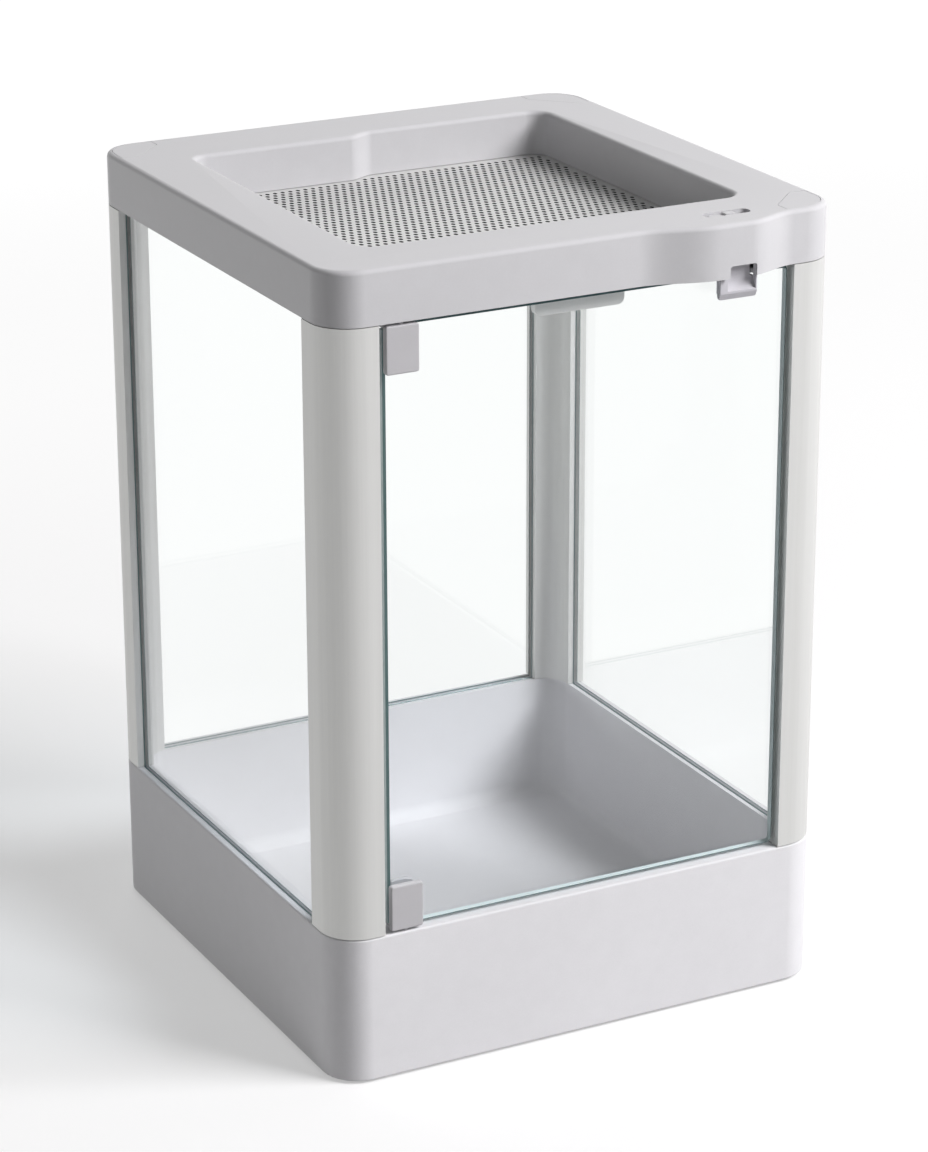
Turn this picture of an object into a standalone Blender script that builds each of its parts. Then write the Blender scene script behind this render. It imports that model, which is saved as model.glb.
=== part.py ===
# Glass terrarium with a swinging front door, a moulded base tray and a moulded top frame.
# Metres, +Z up. The front, with the door, faces -Y. The feet stand on z = 0.
import math

import bmesh
import bpy
from mathutils import Vector

NAME = "glass_terrarium"

# Overall size
WIDTH = 0.200
DEPTH = 0.200
HEIGHT = 0.300
CORNER_RADIUS = 0.014
GAP = 0.0003
OVERRUN = 0.002
WELD = 0.0000001
SHARP_ANGLE = 30

# Base tray
FOOT_PROUD = 0.0010
BASE_TOP = 0.0565
TRAY_DEPTH = 0.0500
RIM_WIDTH = 0.0090
RIM_DEPTH = 0.0080
TRAY_CORNER_RADIUS = 0.0100
TRAY_FILLET = 0.0050
FLOOR_THICKNESS = 0.0030
WALL = 0.0026
BASE_EDGE_ROUND = 0.0008
BASE_RIB = 0.0018
BASE_RIB_SHARES = (-0.5, 0, 0.5)

# Feet
FOOT_RADIUS = 0.0080
FOOT_INSET = 0.0280
FOOT_EDGE = 0.0006

# Glass
GLASS_THICKNESS = 0.0040
GLASS_RECESS = 0.0030
GLASS_PLAY = 0.00025
BASE_GROOVE_DEPTH = 0.0045
GLASS_IN_FRAME = 0.0110

# Corner posts
POST_FRONT_LEG = 0.0189
POST_SIDE_LEG = 0.0207
POST_THICKNESS = 0.0095
POST_GROOVE_DEPTH = 0.0062
SCREW_INSET = 0.0080
SCREW_PORT_RADIUS = 0.0021

# Top frame
FRAME_HEIGHT = 0.0196
FRAME_EDGE_ROUND = 0.0018
DECK_THICKNESS = 0.0030
RECESS_SIDE = 0.0253
RECESS_FRONT = 0.0265
RECESS_BACK_LEFT = 0.0300
RECESS_BACK_RIGHT = 0.0256
RECESS_RADIUS = 0.0070
RECESS_WALL = 0.0024
STEP_OFF_CENTRE = 0.0035
STEP_RUN = 0.0110
LATCH_INSET = 0.0434
BULGE_DEPTH = 0.0062
BULGE_FLAT_LEFT = 0.0096
BULGE_FLAT_RIGHT = 0.0034
BULGE_RAMP_LEFT = 0.0290
BULGE_RAMP_RIGHT = 0.0205
BULGE_TOE = 0.00004
NOTCH_WIDTH = 0.0108
NOTCH_HEIGHT = 0.0044
NOTCH_RADIUS = 0.0010

# Liner and mesh
LINER_THICKNESS = 0.0015
MESH_THICKNESS = 0.0006
MESH_GAP = 0.0002
MESH_LEDGE = 0.0030
MESH_PITCH = 0.0103
MESH_BAR = 0.0028

# Corner caps and screws
CAP_BORDER = 0.0022
CAP_LEG = 0.0213
CAP_STEP = 0.0083
CAP_SOFTENING = 0.0020
CAP_THICKNESS = 0.0014
CAP_GAP = 0.0002
CAP_STEM_LENGTH = 0.0050
SCREW_SHANK_RADIUS = 0.0018
SCREW_HEAD_RADIUS = 0.0025
SCREW_HEAD_HEIGHT = 0.0024
SCREW_GRIP = 0.0140
SCREW_HOLE_PLAY = 0.0004
HEAD_PLAY = 0.0005
BOSS_WALL = 0.0012
BOSS_FLOOR = 0.0024

# Door
DOOR_EDGE_LEFT = 0.0027
DOOR_EDGE_RIGHT = 0.0007
DOOR_EDGE_BOTTOM = 0.0012
DOOR_EDGE_TOP = 0.0010
GLASS_EDGE_ROUND = 0.0003
STOP_WIDTH = 0.0350
STOP_OFF_CENTRE = 0.0017
STOP_DROP = 0.0070
STOP_THICKNESS = 0.0030
STOP_FOOT = 0.0065
STOP_FOOT_THICKNESS = 0.0012
STOP_RADIUS = 0.0025

# Hinge clips
PIVOT_FROM_POST = 0.00875
PIVOT_BEHIND_FACE = 0.0020
PIVOT_RADIUS = 0.0009
PIVOT_PLAY = 0.0002
PIVOT_LENGTH = 0.0060
PIVOT_BLOCK = 0.0032
CLIP_CLEAR = 0.00105
CLIP_WIDTH = 0.0125
CLIP_HEIGHT = 0.0170
CLIP_CORNER_RADIUS = 0.0009
CLIP_EDGE_ROUND = 0.0005
CLIP_BRIDGE = 0.0013
CLIP_BRIDGE_SUNK = 0.0003
CLIP_BRIDGE_INSET = 0.0010
CLIP_BACK_PLATE = 0.0018
CLIP_BACK_RADIUS = 0.0040
CLIP_RELIEF = 0.0024

# Door handle
HANDLE_WIDTH = 0.0154
HANDLE_OFF_NOTCH = 0.0008
HANDLE_DROP = 0.0083
HANDLE_FRONT = 0.0072
HANDLE_LAYER = 0.0010
HANDLE_LAYER_STEP = 0.0002
HANDLE_CORNER_RADIUS = 0.0014
HANDLE_EDGE_ROUND = 0.0003
NECK_INSET_LEFT = 0.0029
NECK_INSET_RIGHT = 0.0005
NECK_RISE = 0.0008
HANDLE_BACK_INSET_LEFT = 0.0042
HANDLE_BACK_INSET_RIGHT = 0.0008
SCOOP_DEPTH = 0.0022
SCOOP_CHEEK = 0.0033
SCOOP_FAR_CHEEK = 0.0008
SCOOP_LIP = 0.0030
SCOOP_RISE = 0.0032
LIP_LAND = 0.0006
LIP_SLOPE = 0.0012
KEEPER_RADIUS = 0.0007
KEEPER_EDGE_ROUND = 0.0004
KEEPER_ROOT = 0.0022
KEEPER_PLAY = 0.0006
KEEPER_TOP_PLAY = 0.0004
KEEPER_SIDE_PLAY = 0.0007
KEEPER_REAR_WALL = 0.0016
KEEPER_FLOOR = 0.0008

# Lock
SLOT_LENGTH = 0.0185
SLOT_WIDTH = 0.0054
SLOT_FROM_FACE = 0.0076
SLOT_OFF_NOTCH = 0.00065
BLOCK_LENGTH = 0.0108
BLOCK_FROM_SLOT_END = 0.0026
BLOCK_SUNK = 0.0008
RIDGE_LENGTH = 0.0044
RIDGE_INSET = 0.0008
FLANGE_REACH = 0.0072
FLANGE_WIDTH = 0.0080
FLANGE_THICKNESS = 0.0021
TONGUE_THICKNESS = 0.0030
TONGUE_HEIGHT = 0.0030
TONGUE_CLEAR = 0.0006
TONGUE_LENGTH = 0.0066
LOCK_TRAVEL_OPEN = 0.0020
LOCK_TRAVEL_SHUT = 0.0046
GUIDE_THICKNESS = 0.0020
GUIDE_WIDTH = 0.0104
GUIDE_POST = 0.0044
GUIDE_PLAY = 0.0006

# Facets
ARC_STEPS = 8
SMALL_ARC_STEPS = 3
RAMP_STEPS = 10
TURN_STEPS = 24
SMALL_TURN_STEPS = 16
ROUND_STEPS = 2

# Places worked out from the sizes above
LEFT = -WIDTH / 2
RIGHT = WIDTH / 2
FRONT = -DEPTH / 2
BACK = DEPTH / 2
BASE_BOTTOM = FOOT_PROUD
TRAY_FLOOR = BASE_TOP - TRAY_DEPTH
HOLLOW_TOP = BASE_TOP - RIM_DEPTH
GROOVE_FLOOR = BASE_TOP - BASE_GROOVE_DEPTH
FRAME_BOTTOM = HEIGHT - FRAME_HEIGHT
DECK_UNDERSIDE = HEIGHT - DECK_THICKNESS
LINER_TOP = FRAME_BOTTOM + LINER_THICKNESS
MESH_BOTTOM = LINER_TOP + MESH_GAP
MESH_TOP = MESH_BOTTOM + MESH_THICKNESS
RECESS_FOOT = MESH_TOP + MESH_GAP
POST_BOTTOM = BASE_TOP + GAP
POST_TOP = FRAME_BOTTOM - GAP
GLASS_OUTER = GLASS_RECESS
GLASS_INNER = GLASS_RECESS + GLASS_THICKNESS
GROOVE_OUTER = GLASS_OUTER - GLASS_PLAY
GROOVE_INNER = GLASS_INNER + GLASS_PLAY
POST_GROOVE_END = POST_SIDE_LEG - POST_GROOVE_DEPTH
BACK_GROOVE_END = POST_FRONT_LEG - POST_GROOVE_DEPTH
LATCH_X = RIGHT - LATCH_INSET
BULGE_LEFT_FULL = LATCH_X - BULGE_FLAT_LEFT
BULGE_LEFT_START = BULGE_LEFT_FULL - BULGE_RAMP_LEFT
BULGE_RIGHT_FULL = LATCH_X + BULGE_FLAT_RIGHT
BULGE_RIGHT_START = BULGE_RIGHT_FULL + BULGE_RAMP_RIGHT
DOOR_LEFT = LEFT + POST_FRONT_LEG + DOOR_EDGE_LEFT
DOOR_RIGHT = RIGHT - POST_FRONT_LEG - DOOR_EDGE_RIGHT
DOOR_BOTTOM = BASE_TOP + DOOR_EDGE_BOTTOM
DOOR_TOP = FRAME_BOTTOM - DOOR_EDGE_TOP
DOOR_FRONT = FRONT + GLASS_OUTER
DOOR_BACK = FRONT + GLASS_INNER
PIVOT_X = LEFT + POST_FRONT_LEG + PIVOT_FROM_POST
PIVOT_Y = FRONT + PIVOT_BEHIND_FACE
CLIP_LEFT = PIVOT_X - CLIP_WIDTH / 2
CLIP_RIGHT = PIVOT_X + CLIP_WIDTH / 2
CLIP_TOP_END = FRAME_BOTTOM - CLIP_CLEAR
CLIP_BOTTOM_END = BASE_TOP + CLIP_CLEAR
CLIP_NOTCH = CLIP_BRIDGE_SUNK + CLIP_BRIDGE + GLASS_PLAY
HANDLE_X = LATCH_X - HANDLE_OFF_NOTCH
HANDLE_TOP = FRAME_BOTTOM - GAP
KEEPER_TOP = FRAME_BOTTOM + NOTCH_HEIGHT - KEEPER_TOP_PLAY
SLOT_X = LATCH_X + SLOT_OFF_NOTCH
SLOT_Y = FRONT + SLOT_FROM_FACE
BLOCK_X = SLOT_X - SLOT_LENGTH / 2 + BLOCK_FROM_SLOT_END + BLOCK_LENGTH / 2
KEEPER_LEFT = LATCH_X - NOTCH_WIDTH / 2 + KEEPER_PLAY
KEEPER_RIGHT = LATCH_X + NOTCH_WIDTH / 2 - KEEPER_PLAY
TONGUE_TIP = KEEPER_LEFT - TONGUE_CLEAR
LEG_LEFT = TONGUE_TIP - TONGUE_LENGTH
LEG_RIGHT = TONGUE_TIP - TONGUE_LENGTH / 2
FLANGE_LEFT = LEG_LEFT
FLANGE_RIGHT = BLOCK_X + BLOCK_LENGTH / 2 + FLANGE_REACH / 2
TONGUE_BOTTOM = LINER_TOP + GAP
FLANGE_TOP = DECK_UNDERSIDE - GAP
FLANGE_BOTTOM = FLANGE_TOP - FLANGE_THICKNESS
GUIDE_TOP = FLANGE_BOTTOM - GAP
GUIDE_BOTTOM = GUIDE_TOP - GUIDE_THICKNESS
BOSS_RADIUS = SCREW_HEAD_RADIUS + HEAD_PLAY + BOSS_WALL
BOSS_BOTTOM = LINER_TOP + GAP
HEAD_SEAT = BOSS_BOTTOM + BOSS_FLOOR


def clear_scene():
    for obj in list(bpy.data.objects):
        bpy.data.objects.remove(obj, do_unlink=True)


def new_collection(name):
    collection = bpy.data.collections.new(name)
    bpy.context.scene.collection.children.link(collection)
    return collection


def new_empty(name, place, parent=None):
    empty = bpy.data.objects.new(name, None)
    empty.location = place
    empty.parent = parent
    PARTS.objects.link(empty)
    return empty


def smooth_step(share):
    share = min(max(share, 0), 1)
    return share * share * (3 - 2 * share)


def arc(centre, radii, start, end, steps):
    points = []
    for i in range(steps + 1):
        angle = math.radians(start + (end - start) * i / steps)
        points.append((centre[0] + radii[0] * math.cos(angle), centre[1] + radii[1] * math.sin(angle)))
    return points


def circle(centre, radius, steps=TURN_STEPS):
    return arc(centre, (radius, radius), 0, 360, steps)[:-1]


def rounded(corners, steps=ARC_STEPS):
    # Each corner is (x, y, radius); a radius of zero keeps the corner sharp.
    points = []
    for i, (x, y, radius) in enumerate(corners):
        here = Vector((x, y))
        before = Vector(corners[i - 1][:2])
        after = Vector(corners[(i + 1) % len(corners)][:2])
        if radius == 0:
            points.append(tuple(here))
            continue
        into = (before - here).normalized()
        out = (after - here).normalized()
        half = into.angle(out) / 2
        middle = here + (into + out).normalized() * radius / math.sin(half)
        first = here + into * radius / math.tan(half) - middle
        last = here + out * radius / math.tan(half) - middle
        turn = first.angle_signed(last)
        for step in range(steps + 1):
            angle = -turn * step / steps
            arm = Vector((
                first.x * math.cos(angle) - first.y * math.sin(angle),
                first.x * math.sin(angle) + first.y * math.cos(angle),
            ))
            points.append(tuple(middle + arm))
    return points


def box_outline(x0, x1, y0, y1, radius=0, steps=ARC_STEPS):
    return rounded([(x0, y0, radius), (x1, y0, radius), (x1, y1, radius), (x0, y1, radius)], steps)


def offset(outline, distance):
    # Grows a counter-clockwise outline by the distance, or shrinks it when that is negative.
    grown = []
    for i, point in enumerate(outline):
        here = Vector(point)
        before = (here - Vector(outline[i - 1])).normalized()
        after = (Vector(outline[(i + 1) % len(outline)]) - here).normalized()
        normal_before = Vector((before.y, -before.x))
        normal_after = Vector((after.y, -after.x))
        push = (normal_before + normal_after) / (1 + normal_before.dot(normal_after))
        grown.append(tuple(here + push * distance))
    return grown


def in_corner(outline, side_x, side_y):
    # Takes an outline drawn from a front-left corner to any of the four corners.
    placed = [(side_x * (WIDTH / 2 - u), side_y * (DEPTH / 2 - v)) for u, v in outline]
    if side_x * side_y < 0:
        placed.reverse()
    return placed


def extruded(name, outlines, low, high, edge_round=0, turn=(0, 0, 0), along="z"):
    # A flat outline with its holes, raised from low to high, with its rims rounded.
    curve = bpy.data.curves.new(name, "CURVE")
    curve.dimensions = "2D"
    curve.fill_mode = "BOTH"
    for index, outline in enumerate(outlines):
        points = outline if index == 0 else list(reversed(outline))
        spline = curve.splines.new("POLY")
        spline.points.add(len(points) - 1)
        for point, (x, y) in zip(spline.points, points):
            point.co = (x, y, 0, 1)
        spline.use_cyclic_u = True
    curve.extrude = (high - low) / 2 - edge_round
    curve.bevel_depth = edge_round
    curve.offset = -edge_round
    curve.bevel_resolution = ROUND_STEPS
    drawn = bpy.data.objects.new(name, curve)
    bpy.context.scene.collection.objects.link(drawn)
    middle = (high + low) / 2
    drawn.location = {"x": (middle, 0, 0), "y": (0, middle, 0), "z": (0, 0, middle)}[along]
    drawn.rotation_euler = turn
    bpy.context.view_layer.update()
    mesh = bpy.data.meshes.new_from_object(drawn.evaluated_get(bpy.context.evaluated_depsgraph_get()))
    mesh.transform(drawn.matrix_world)
    bpy.data.objects.remove(drawn, do_unlink=True)
    return weld(name, mesh)


def extruded_x(name, outlines, low, high, edge_round=0):
    # The outline's points are (y, z).
    return extruded(name, outlines, low, high, edge_round, (math.pi / 2, 0, math.pi / 2), "x")


def extruded_y(name, outlines, low, high, edge_round=0):
    # The outline's points are (x, z).
    return extruded(name, outlines, low, high, edge_round, (math.pi / 2, 0, 0), "y")


def weld(name, mesh):
    shape = bmesh.new()
    shape.from_mesh(mesh)
    bmesh.ops.remove_doubles(shape, verts=shape.verts, dist=WELD)
    bmesh.ops.recalc_face_normals(shape, faces=shape.faces)
    shape.to_mesh(mesh)
    shape.free()
    return bpy.data.objects.new(name, mesh)


def block(name, x0, x1, y0, y1, z0, z1):
    mesh = bpy.data.meshes.new(name)
    shape = bmesh.new()
    bmesh.ops.create_cube(shape, size=1)
    bmesh.ops.scale(shape, vec=(x1 - x0, y1 - y0, z1 - z0), verts=shape.verts)
    bmesh.ops.translate(shape, vec=((x0 + x1) / 2, (y0 + y1) / 2, (z0 + z1) / 2), verts=shape.verts)
    shape.to_mesh(mesh)
    shape.free()
    return bpy.data.objects.new(name, mesh)


def cylinder(name, place, radius, low, high, steps=TURN_STEPS):
    mesh = bpy.data.meshes.new(name)
    shape = bmesh.new()
    bmesh.ops.create_cone(
        shape, cap_ends=True, segments=steps, radius1=radius, radius2=radius, depth=high - low
    )
    bmesh.ops.translate(shape, vec=(place[0], place[1], (low + high) / 2), verts=shape.verts)
    shape.to_mesh(mesh)
    shape.free()
    return bpy.data.objects.new(name, mesh)


def turned(name, place, profile, steps=TURN_STEPS):
    # The profile is (radius, height) from the top of the axis, down the outside, to the bottom of the axis.
    mesh = bpy.data.meshes.new(name)
    shape = bmesh.new()
    verts = [shape.verts.new((radius, 0, height)) for radius, height in profile]
    for upper, lower in zip(verts, verts[1:]):
        shape.edges.new((upper, lower))
    shape.to_mesh(mesh)
    shape.free()
    obj = bpy.data.objects.new(name, mesh)
    obj.location = (place[0], place[1], 0)
    spin = obj.modifiers.new("turn", "SCREW")
    spin.steps = steps
    spin.render_steps = steps
    spin.use_merge_vertices = True
    spin.merge_threshold = 10 * WELD
    return obj


def combine(obj, tool, operation):
    # The tool stays as a wire guide that the Boolean reads.
    CUTTERS.objects.link(tool)
    tool.parent = DATUM
    tool.hide_render = True
    tool.display_type = "WIRE"
    modifier = obj.modifiers.new(tool.name, "BOOLEAN")
    modifier.operation = operation
    modifier.solver = "EXACT"
    modifier.object = tool


def cut(obj, *tools):
    for tool in tools:
        combine(obj, tool, "DIFFERENCE")


def join(obj, *tools):
    for tool in tools:
        combine(obj, tool, "UNION")


def finish(obj, material, parent=None):
    parent = parent or DATUM
    PARTS.objects.link(obj)
    obj.parent = parent
    if parent is not DATUM:
        obj.location = Vector(obj.location) - parent.location
    obj.data.materials.append(material)
    if not obj.modifiers or obj.modifiers[0].type != "SCREW":
        obj.data.shade_smooth()
        obj.data.set_sharp_from_angle(angle=math.radians(SHARP_ANGLE))
    return obj


def new_material(name, colour, roughness, metallic=0.0, transmission=0.0):
    material = bpy.data.materials.new(name)
    material.use_nodes = True
    shader = material.node_tree.nodes["Principled BSDF"]
    shader.inputs["Base Color"].default_value = (*colour, 1.0)
    shader.inputs["Roughness"].default_value = roughness
    shader.inputs["Metallic"].default_value = metallic
    shader.inputs["Transmission Weight"].default_value = transmission
    return material


def corners():
    for side_x, across in ((-1, "left"), (1, "right")):
        for side_y, along in ((-1, "front"), (1, "back")):
            yield side_x, side_y, f"{along}_{across}"


def corner_place(side_x, side_y, inset):
    return side_x * (WIDTH / 2 - inset), side_y * (DEPTH / 2 - inset)


def body_outline():
    return box_outline(LEFT, RIGHT, FRONT, BACK, CORNER_RADIUS)


def bulge(x):
    rise = smooth_step((x - BULGE_LEFT_START) / BULGE_RAMP_LEFT)
    fall = smooth_step((BULGE_RIGHT_START - x) / BULGE_RAMP_RIGHT)
    return BULGE_DEPTH * min(rise, fall)


def frame_outline():
    # The case's outline with the latch bulge on its front, whose ramps start a hair proud of the face.
    front = []
    for start, end in ((BULGE_LEFT_START, BULGE_LEFT_FULL), (BULGE_RIGHT_FULL, BULGE_RIGHT_START)):
        for i in range(RAMP_STEPS + 1):
            x = start + (end - start) * i / RAMP_STEPS
            front.append((x, FRONT - max(bulge(x), BULGE_TOE)))
    outline = body_outline()
    first_corner = ARC_STEPS + 1
    return outline[:first_corner] + front + outline[first_corner:]


def recess_outline():
    # A rounded rectangle whose back edge steps back on the right.
    x0 = LEFT + RECESS_SIDE
    x1 = RIGHT - RECESS_SIDE
    y0 = FRONT + RECESS_FRONT
    back_left = BACK - RECESS_BACK_LEFT
    back_right = BACK - RECESS_BACK_RIGHT
    radius = RECESS_RADIUS
    step_start = -STEP_OFF_CENTRE + STEP_RUN / 2
    step = []
    for i in range(RAMP_STEPS + 1):
        share = i / RAMP_STEPS
        y = back_right + (back_left - back_right) * smooth_step(share)
        step.append((step_start - STEP_RUN * share, y))
    outline = arc((x0 + radius, y0 + radius), (radius, radius), 180, 270, ARC_STEPS)
    outline += arc((x1 - radius, y0 + radius), (radius, radius), 270, 360, ARC_STEPS)
    outline += arc((x1 - radius, back_right - radius), (radius, radius), 0, 90, ARC_STEPS)
    outline += step
    outline += arc((x0 + radius, back_left - radius), (radius, radius), 90, 180, ARC_STEPS)
    return outline


def glass_box(name, low, high, play=0.0, end_play=0.0):
    # The box that a fixed pane fills, or with play the groove that it stands in.
    outer = GLASS_OUTER - play
    inner = GLASS_INNER + play
    side = POST_GROOVE_END + GAP - end_play
    back = BACK_GROOVE_END + GAP - end_play
    spans = {
        "left": (LEFT + outer, LEFT + inner, FRONT + side, BACK - side),
        "right": (RIGHT - inner, RIGHT - outer, FRONT + side, BACK - side),
        "back": (LEFT + back, RIGHT - back, BACK - inner, BACK - outer),
    }
    return block(name, *spans[name.split("_")[1]], low, high)


def make_base_tray():
    # Moulded with a double wall: the tray hangs in the outer wall, and the rim joins them.
    tray = extruded("base_tray", [body_outline()], BASE_BOTTOM, BASE_TOP, BASE_EDGE_ROUND)
    inner = box_outline(
        LEFT + RIM_WIDTH, RIGHT - RIM_WIDTH, FRONT + RIM_WIDTH, BACK - RIM_WIDTH, TRAY_CORNER_RADIUS
    )
    cut(tray, extruded("tray_inside", [inner], TRAY_FLOOR, BASE_TOP + 2 * TRAY_FILLET, TRAY_FILLET))
    hollow_outer = offset(body_outline(), -WALL)
    hollow_inner = offset(inner, WALL)
    hollow = extruded("base_hollow", [hollow_outer, hollow_inner], BASE_BOTTOM - OVERRUN, HOLLOW_TOP)
    half = BASE_RIB / 2
    for index, share in enumerate(BASE_RIB_SHARES):
        x = RIGHT * share
        y = BACK * share
        cut(
            hollow,
            block(f"side_rib_{index}", LEFT, RIGHT, y - half, y + half, 0, BASE_TOP),
            block(f"front_rib_{index}", x - half, x + half, FRONT, BACK, 0, BASE_TOP),
        )
    cut(tray, hollow)
    cut(tray, extruded("floor_underside", [inner], BASE_BOTTOM - OVERRUN, TRAY_FLOOR - FLOOR_THICKNESS))
    for side in ("left", "right", "back"):
        cut(tray, glass_box(f"basegroove_{side}", GROOVE_FLOOR, BASE_TOP + OVERRUN, GLASS_PLAY, GLASS_PLAY))
    for side_x, side_y, where in corners():
        place = corner_place(side_x, side_y, SCREW_INSET)
        radius = SCREW_SHANK_RADIUS + SCREW_HOLE_PLAY
        cut(tray, cylinder(f"base_hole_{where}", place, radius, HOLLOW_TOP - OVERRUN, BASE_TOP + OVERRUN))
    low = CLIP_BOTTOM_END - PIVOT_LENGTH - GAP
    radius = PIVOT_RADIUS + PIVOT_PLAY
    cut(tray, cylinder("base_pivot_hole", (PIVOT_X, PIVOT_Y), radius, low, BASE_TOP + OVERRUN))
    finish(tray, PLASTIC)


def make_feet():
    high = TRAY_FLOOR - FLOOR_THICKNESS - GAP
    for side_x, side_y, where in corners():
        place = corner_place(side_x, side_y, FOOT_INSET)
        profile = [
            (0, high),
            (FOOT_RADIUS, high),
            (FOOT_RADIUS, FOOT_EDGE),
            (FOOT_RADIUS - FOOT_EDGE, 0),
            (0, 0),
        ]
        finish(turned(f"foot_{where}", place, profile), RUBBER)


def post_outline(is_back):
    # Drawn from the front-left corner: u across the front, v along the side.
    outline = arc((CORNER_RADIUS, CORNER_RADIUS), (CORNER_RADIUS, CORNER_RADIUS), 180, 270, ARC_STEPS)
    outline.append((POST_FRONT_LEG, 0))
    if is_back:
        outline += [
            (POST_FRONT_LEG, GROOVE_OUTER),
            (BACK_GROOVE_END, GROOVE_OUTER),
            (BACK_GROOVE_END, GROOVE_INNER),
            (POST_FRONT_LEG, GROOVE_INNER),
        ]
    radii = (POST_FRONT_LEG - POST_THICKNESS, POST_SIDE_LEG - POST_THICKNESS)
    outline += arc((POST_FRONT_LEG, POST_SIDE_LEG), radii, 270, 180, ARC_STEPS)
    outline += [
        (GROOVE_INNER, POST_SIDE_LEG),
        (GROOVE_INNER, POST_GROOVE_END),
        (GROOVE_OUTER, POST_GROOVE_END),
        (GROOVE_OUTER, POST_SIDE_LEG),
        (0, POST_SIDE_LEG),
    ]
    return outline


def make_posts():
    for side_x, side_y, where in corners():
        port = circle((SCREW_INSET, SCREW_INSET), SCREW_PORT_RADIUS, TURN_STEPS)
        outlines = [in_corner(points, side_x, side_y) for points in (post_outline(side_y > 0), port)]
        finish(extruded(f"post_{where}", outlines, POST_BOTTOM, POST_TOP), ALUMINIUM)


def make_fixed_glass():
    for side in ("left", "right", "back"):
        pane = glass_box(f"glass_{side}", GROOVE_FLOOR + GAP, FRAME_BOTTOM + GLASS_IN_FRAME)
        finish(pane, GLASS)


def cap_outline(grow=0.0):
    # Drawn from a corner of the frame, inside the deck's rounded edge.
    inset_radius = CORNER_RADIUS - CAP_BORDER
    outline = arc((CORNER_RADIUS, CORNER_RADIUS), (inset_radius, inset_radius), 180, 270, ARC_STEPS)
    inner = rounded([
        (CAP_LEG, CAP_BORDER, 0),
        (CAP_LEG, CAP_STEP, CAP_SOFTENING),
        (CAP_STEP, CAP_LEG, CAP_SOFTENING),
        (CAP_BORDER, CAP_LEG, 0),
    ], SMALL_ARC_STEPS)
    return offset(outline + inner, grow)


def capped_corners():
    return [corner for corner in corners() if corner[2] != "front_left"]


def make_top_frame():
    # A shell open below: skirt, deck and recess wall, with bosses for the screws and the hinge pin.
    low = FRAME_BOTTOM - 2 * FRAME_EDGE_ROUND
    frame = extruded("top_frame", [frame_outline(), recess_outline()], low, HEIGHT, FRAME_EDGE_ROUND)
    cut(frame, block(
        "frame_trim", LEFT - OVERRUN, RIGHT + OVERRUN, FRONT - BULGE_DEPTH - OVERRUN, BACK + OVERRUN,
        low - OVERRUN, FRAME_BOTTOM,
    ))
    channel = [offset(frame_outline(), -WALL), offset(recess_outline(), RECESS_WALL)]
    cut(frame, extruded("frame_channel", channel, FRAME_BOTTOM - OVERRUN, DECK_UNDERSIDE))
    foot = [offset(recess_outline(), 2 * RECESS_WALL)]
    cut(frame, extruded("recess_foot", foot, FRAME_BOTTOM - OVERRUN, RECESS_FOOT))
    into_deck = DECK_UNDERSIDE + DECK_THICKNESS / 4
    join(frame, block(
        "pivot_block", PIVOT_X - PIVOT_BLOCK, PIVOT_X + PIVOT_BLOCK,
        FRONT + WALL / 2, PIVOT_Y + PIVOT_BLOCK, BOSS_BOTTOM, into_deck,
    ))
    for side_x, side_y, where in capped_corners():
        place = corner_place(side_x, side_y, SCREW_INSET)
        join(frame, cylinder(f"screw_boss_{where}", place, BOSS_RADIUS, BOSS_BOTTOM, into_deck))
    pivot_top = CLIP_TOP_END + PIVOT_LENGTH + GAP
    radius = PIVOT_RADIUS + PIVOT_PLAY
    cut(frame, cylinder("frame_pivot_hole", (PIVOT_X, PIVOT_Y), radius, low, pivot_top))
    pocket_floor = HEIGHT - CAP_THICKNESS - CAP_GAP
    head_bore = SCREW_HEAD_RADIUS + HEAD_PLAY
    for side_x, side_y, where in capped_corners():
        place = corner_place(side_x, side_y, SCREW_INSET)
        pocket = [in_corner(cap_outline(CAP_GAP), side_x, side_y)]
        cut(
            frame,
            extruded(f"cap_pocket_{where}", pocket, pocket_floor, HEIGHT + OVERRUN),
            cylinder(f"head_bore_{where}", place, head_bore, HEAD_SEAT, HEIGHT + OVERRUN),
            cylinder(f"shank_bore_{where}", place, SCREW_SHANK_RADIUS + SCREW_HOLE_PLAY, low, HEIGHT),
        )
    slot = box_outline(
        SLOT_X - SLOT_LENGTH / 2, SLOT_X + SLOT_LENGTH / 2,
        SLOT_Y - SLOT_WIDTH / 2, SLOT_Y + SLOT_WIDTH / 2, SLOT_WIDTH / 2 - GAP,
    )
    cut(frame, extruded("lock_slot", [slot], DECK_UNDERSIDE - OVERRUN, HEIGHT + OVERRUN))
    notch = rounded([
        (LATCH_X - NOTCH_WIDTH / 2, low, 0),
        (LATCH_X + NOTCH_WIDTH / 2, low, 0),
        (LATCH_X + NOTCH_WIDTH / 2, FRAME_BOTTOM + NOTCH_HEIGHT, NOTCH_RADIUS),
        (LATCH_X - NOTCH_WIDTH / 2, FRAME_BOTTOM + NOTCH_HEIGHT, NOTCH_RADIUS),
    ], SMALL_ARC_STEPS)
    face = FRONT - BULGE_DEPTH
    cut(frame, extruded_y("latch_notch", [notch], face - OVERRUN, face + WALL + OVERRUN))
    finish(frame, PLASTIC)


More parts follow.
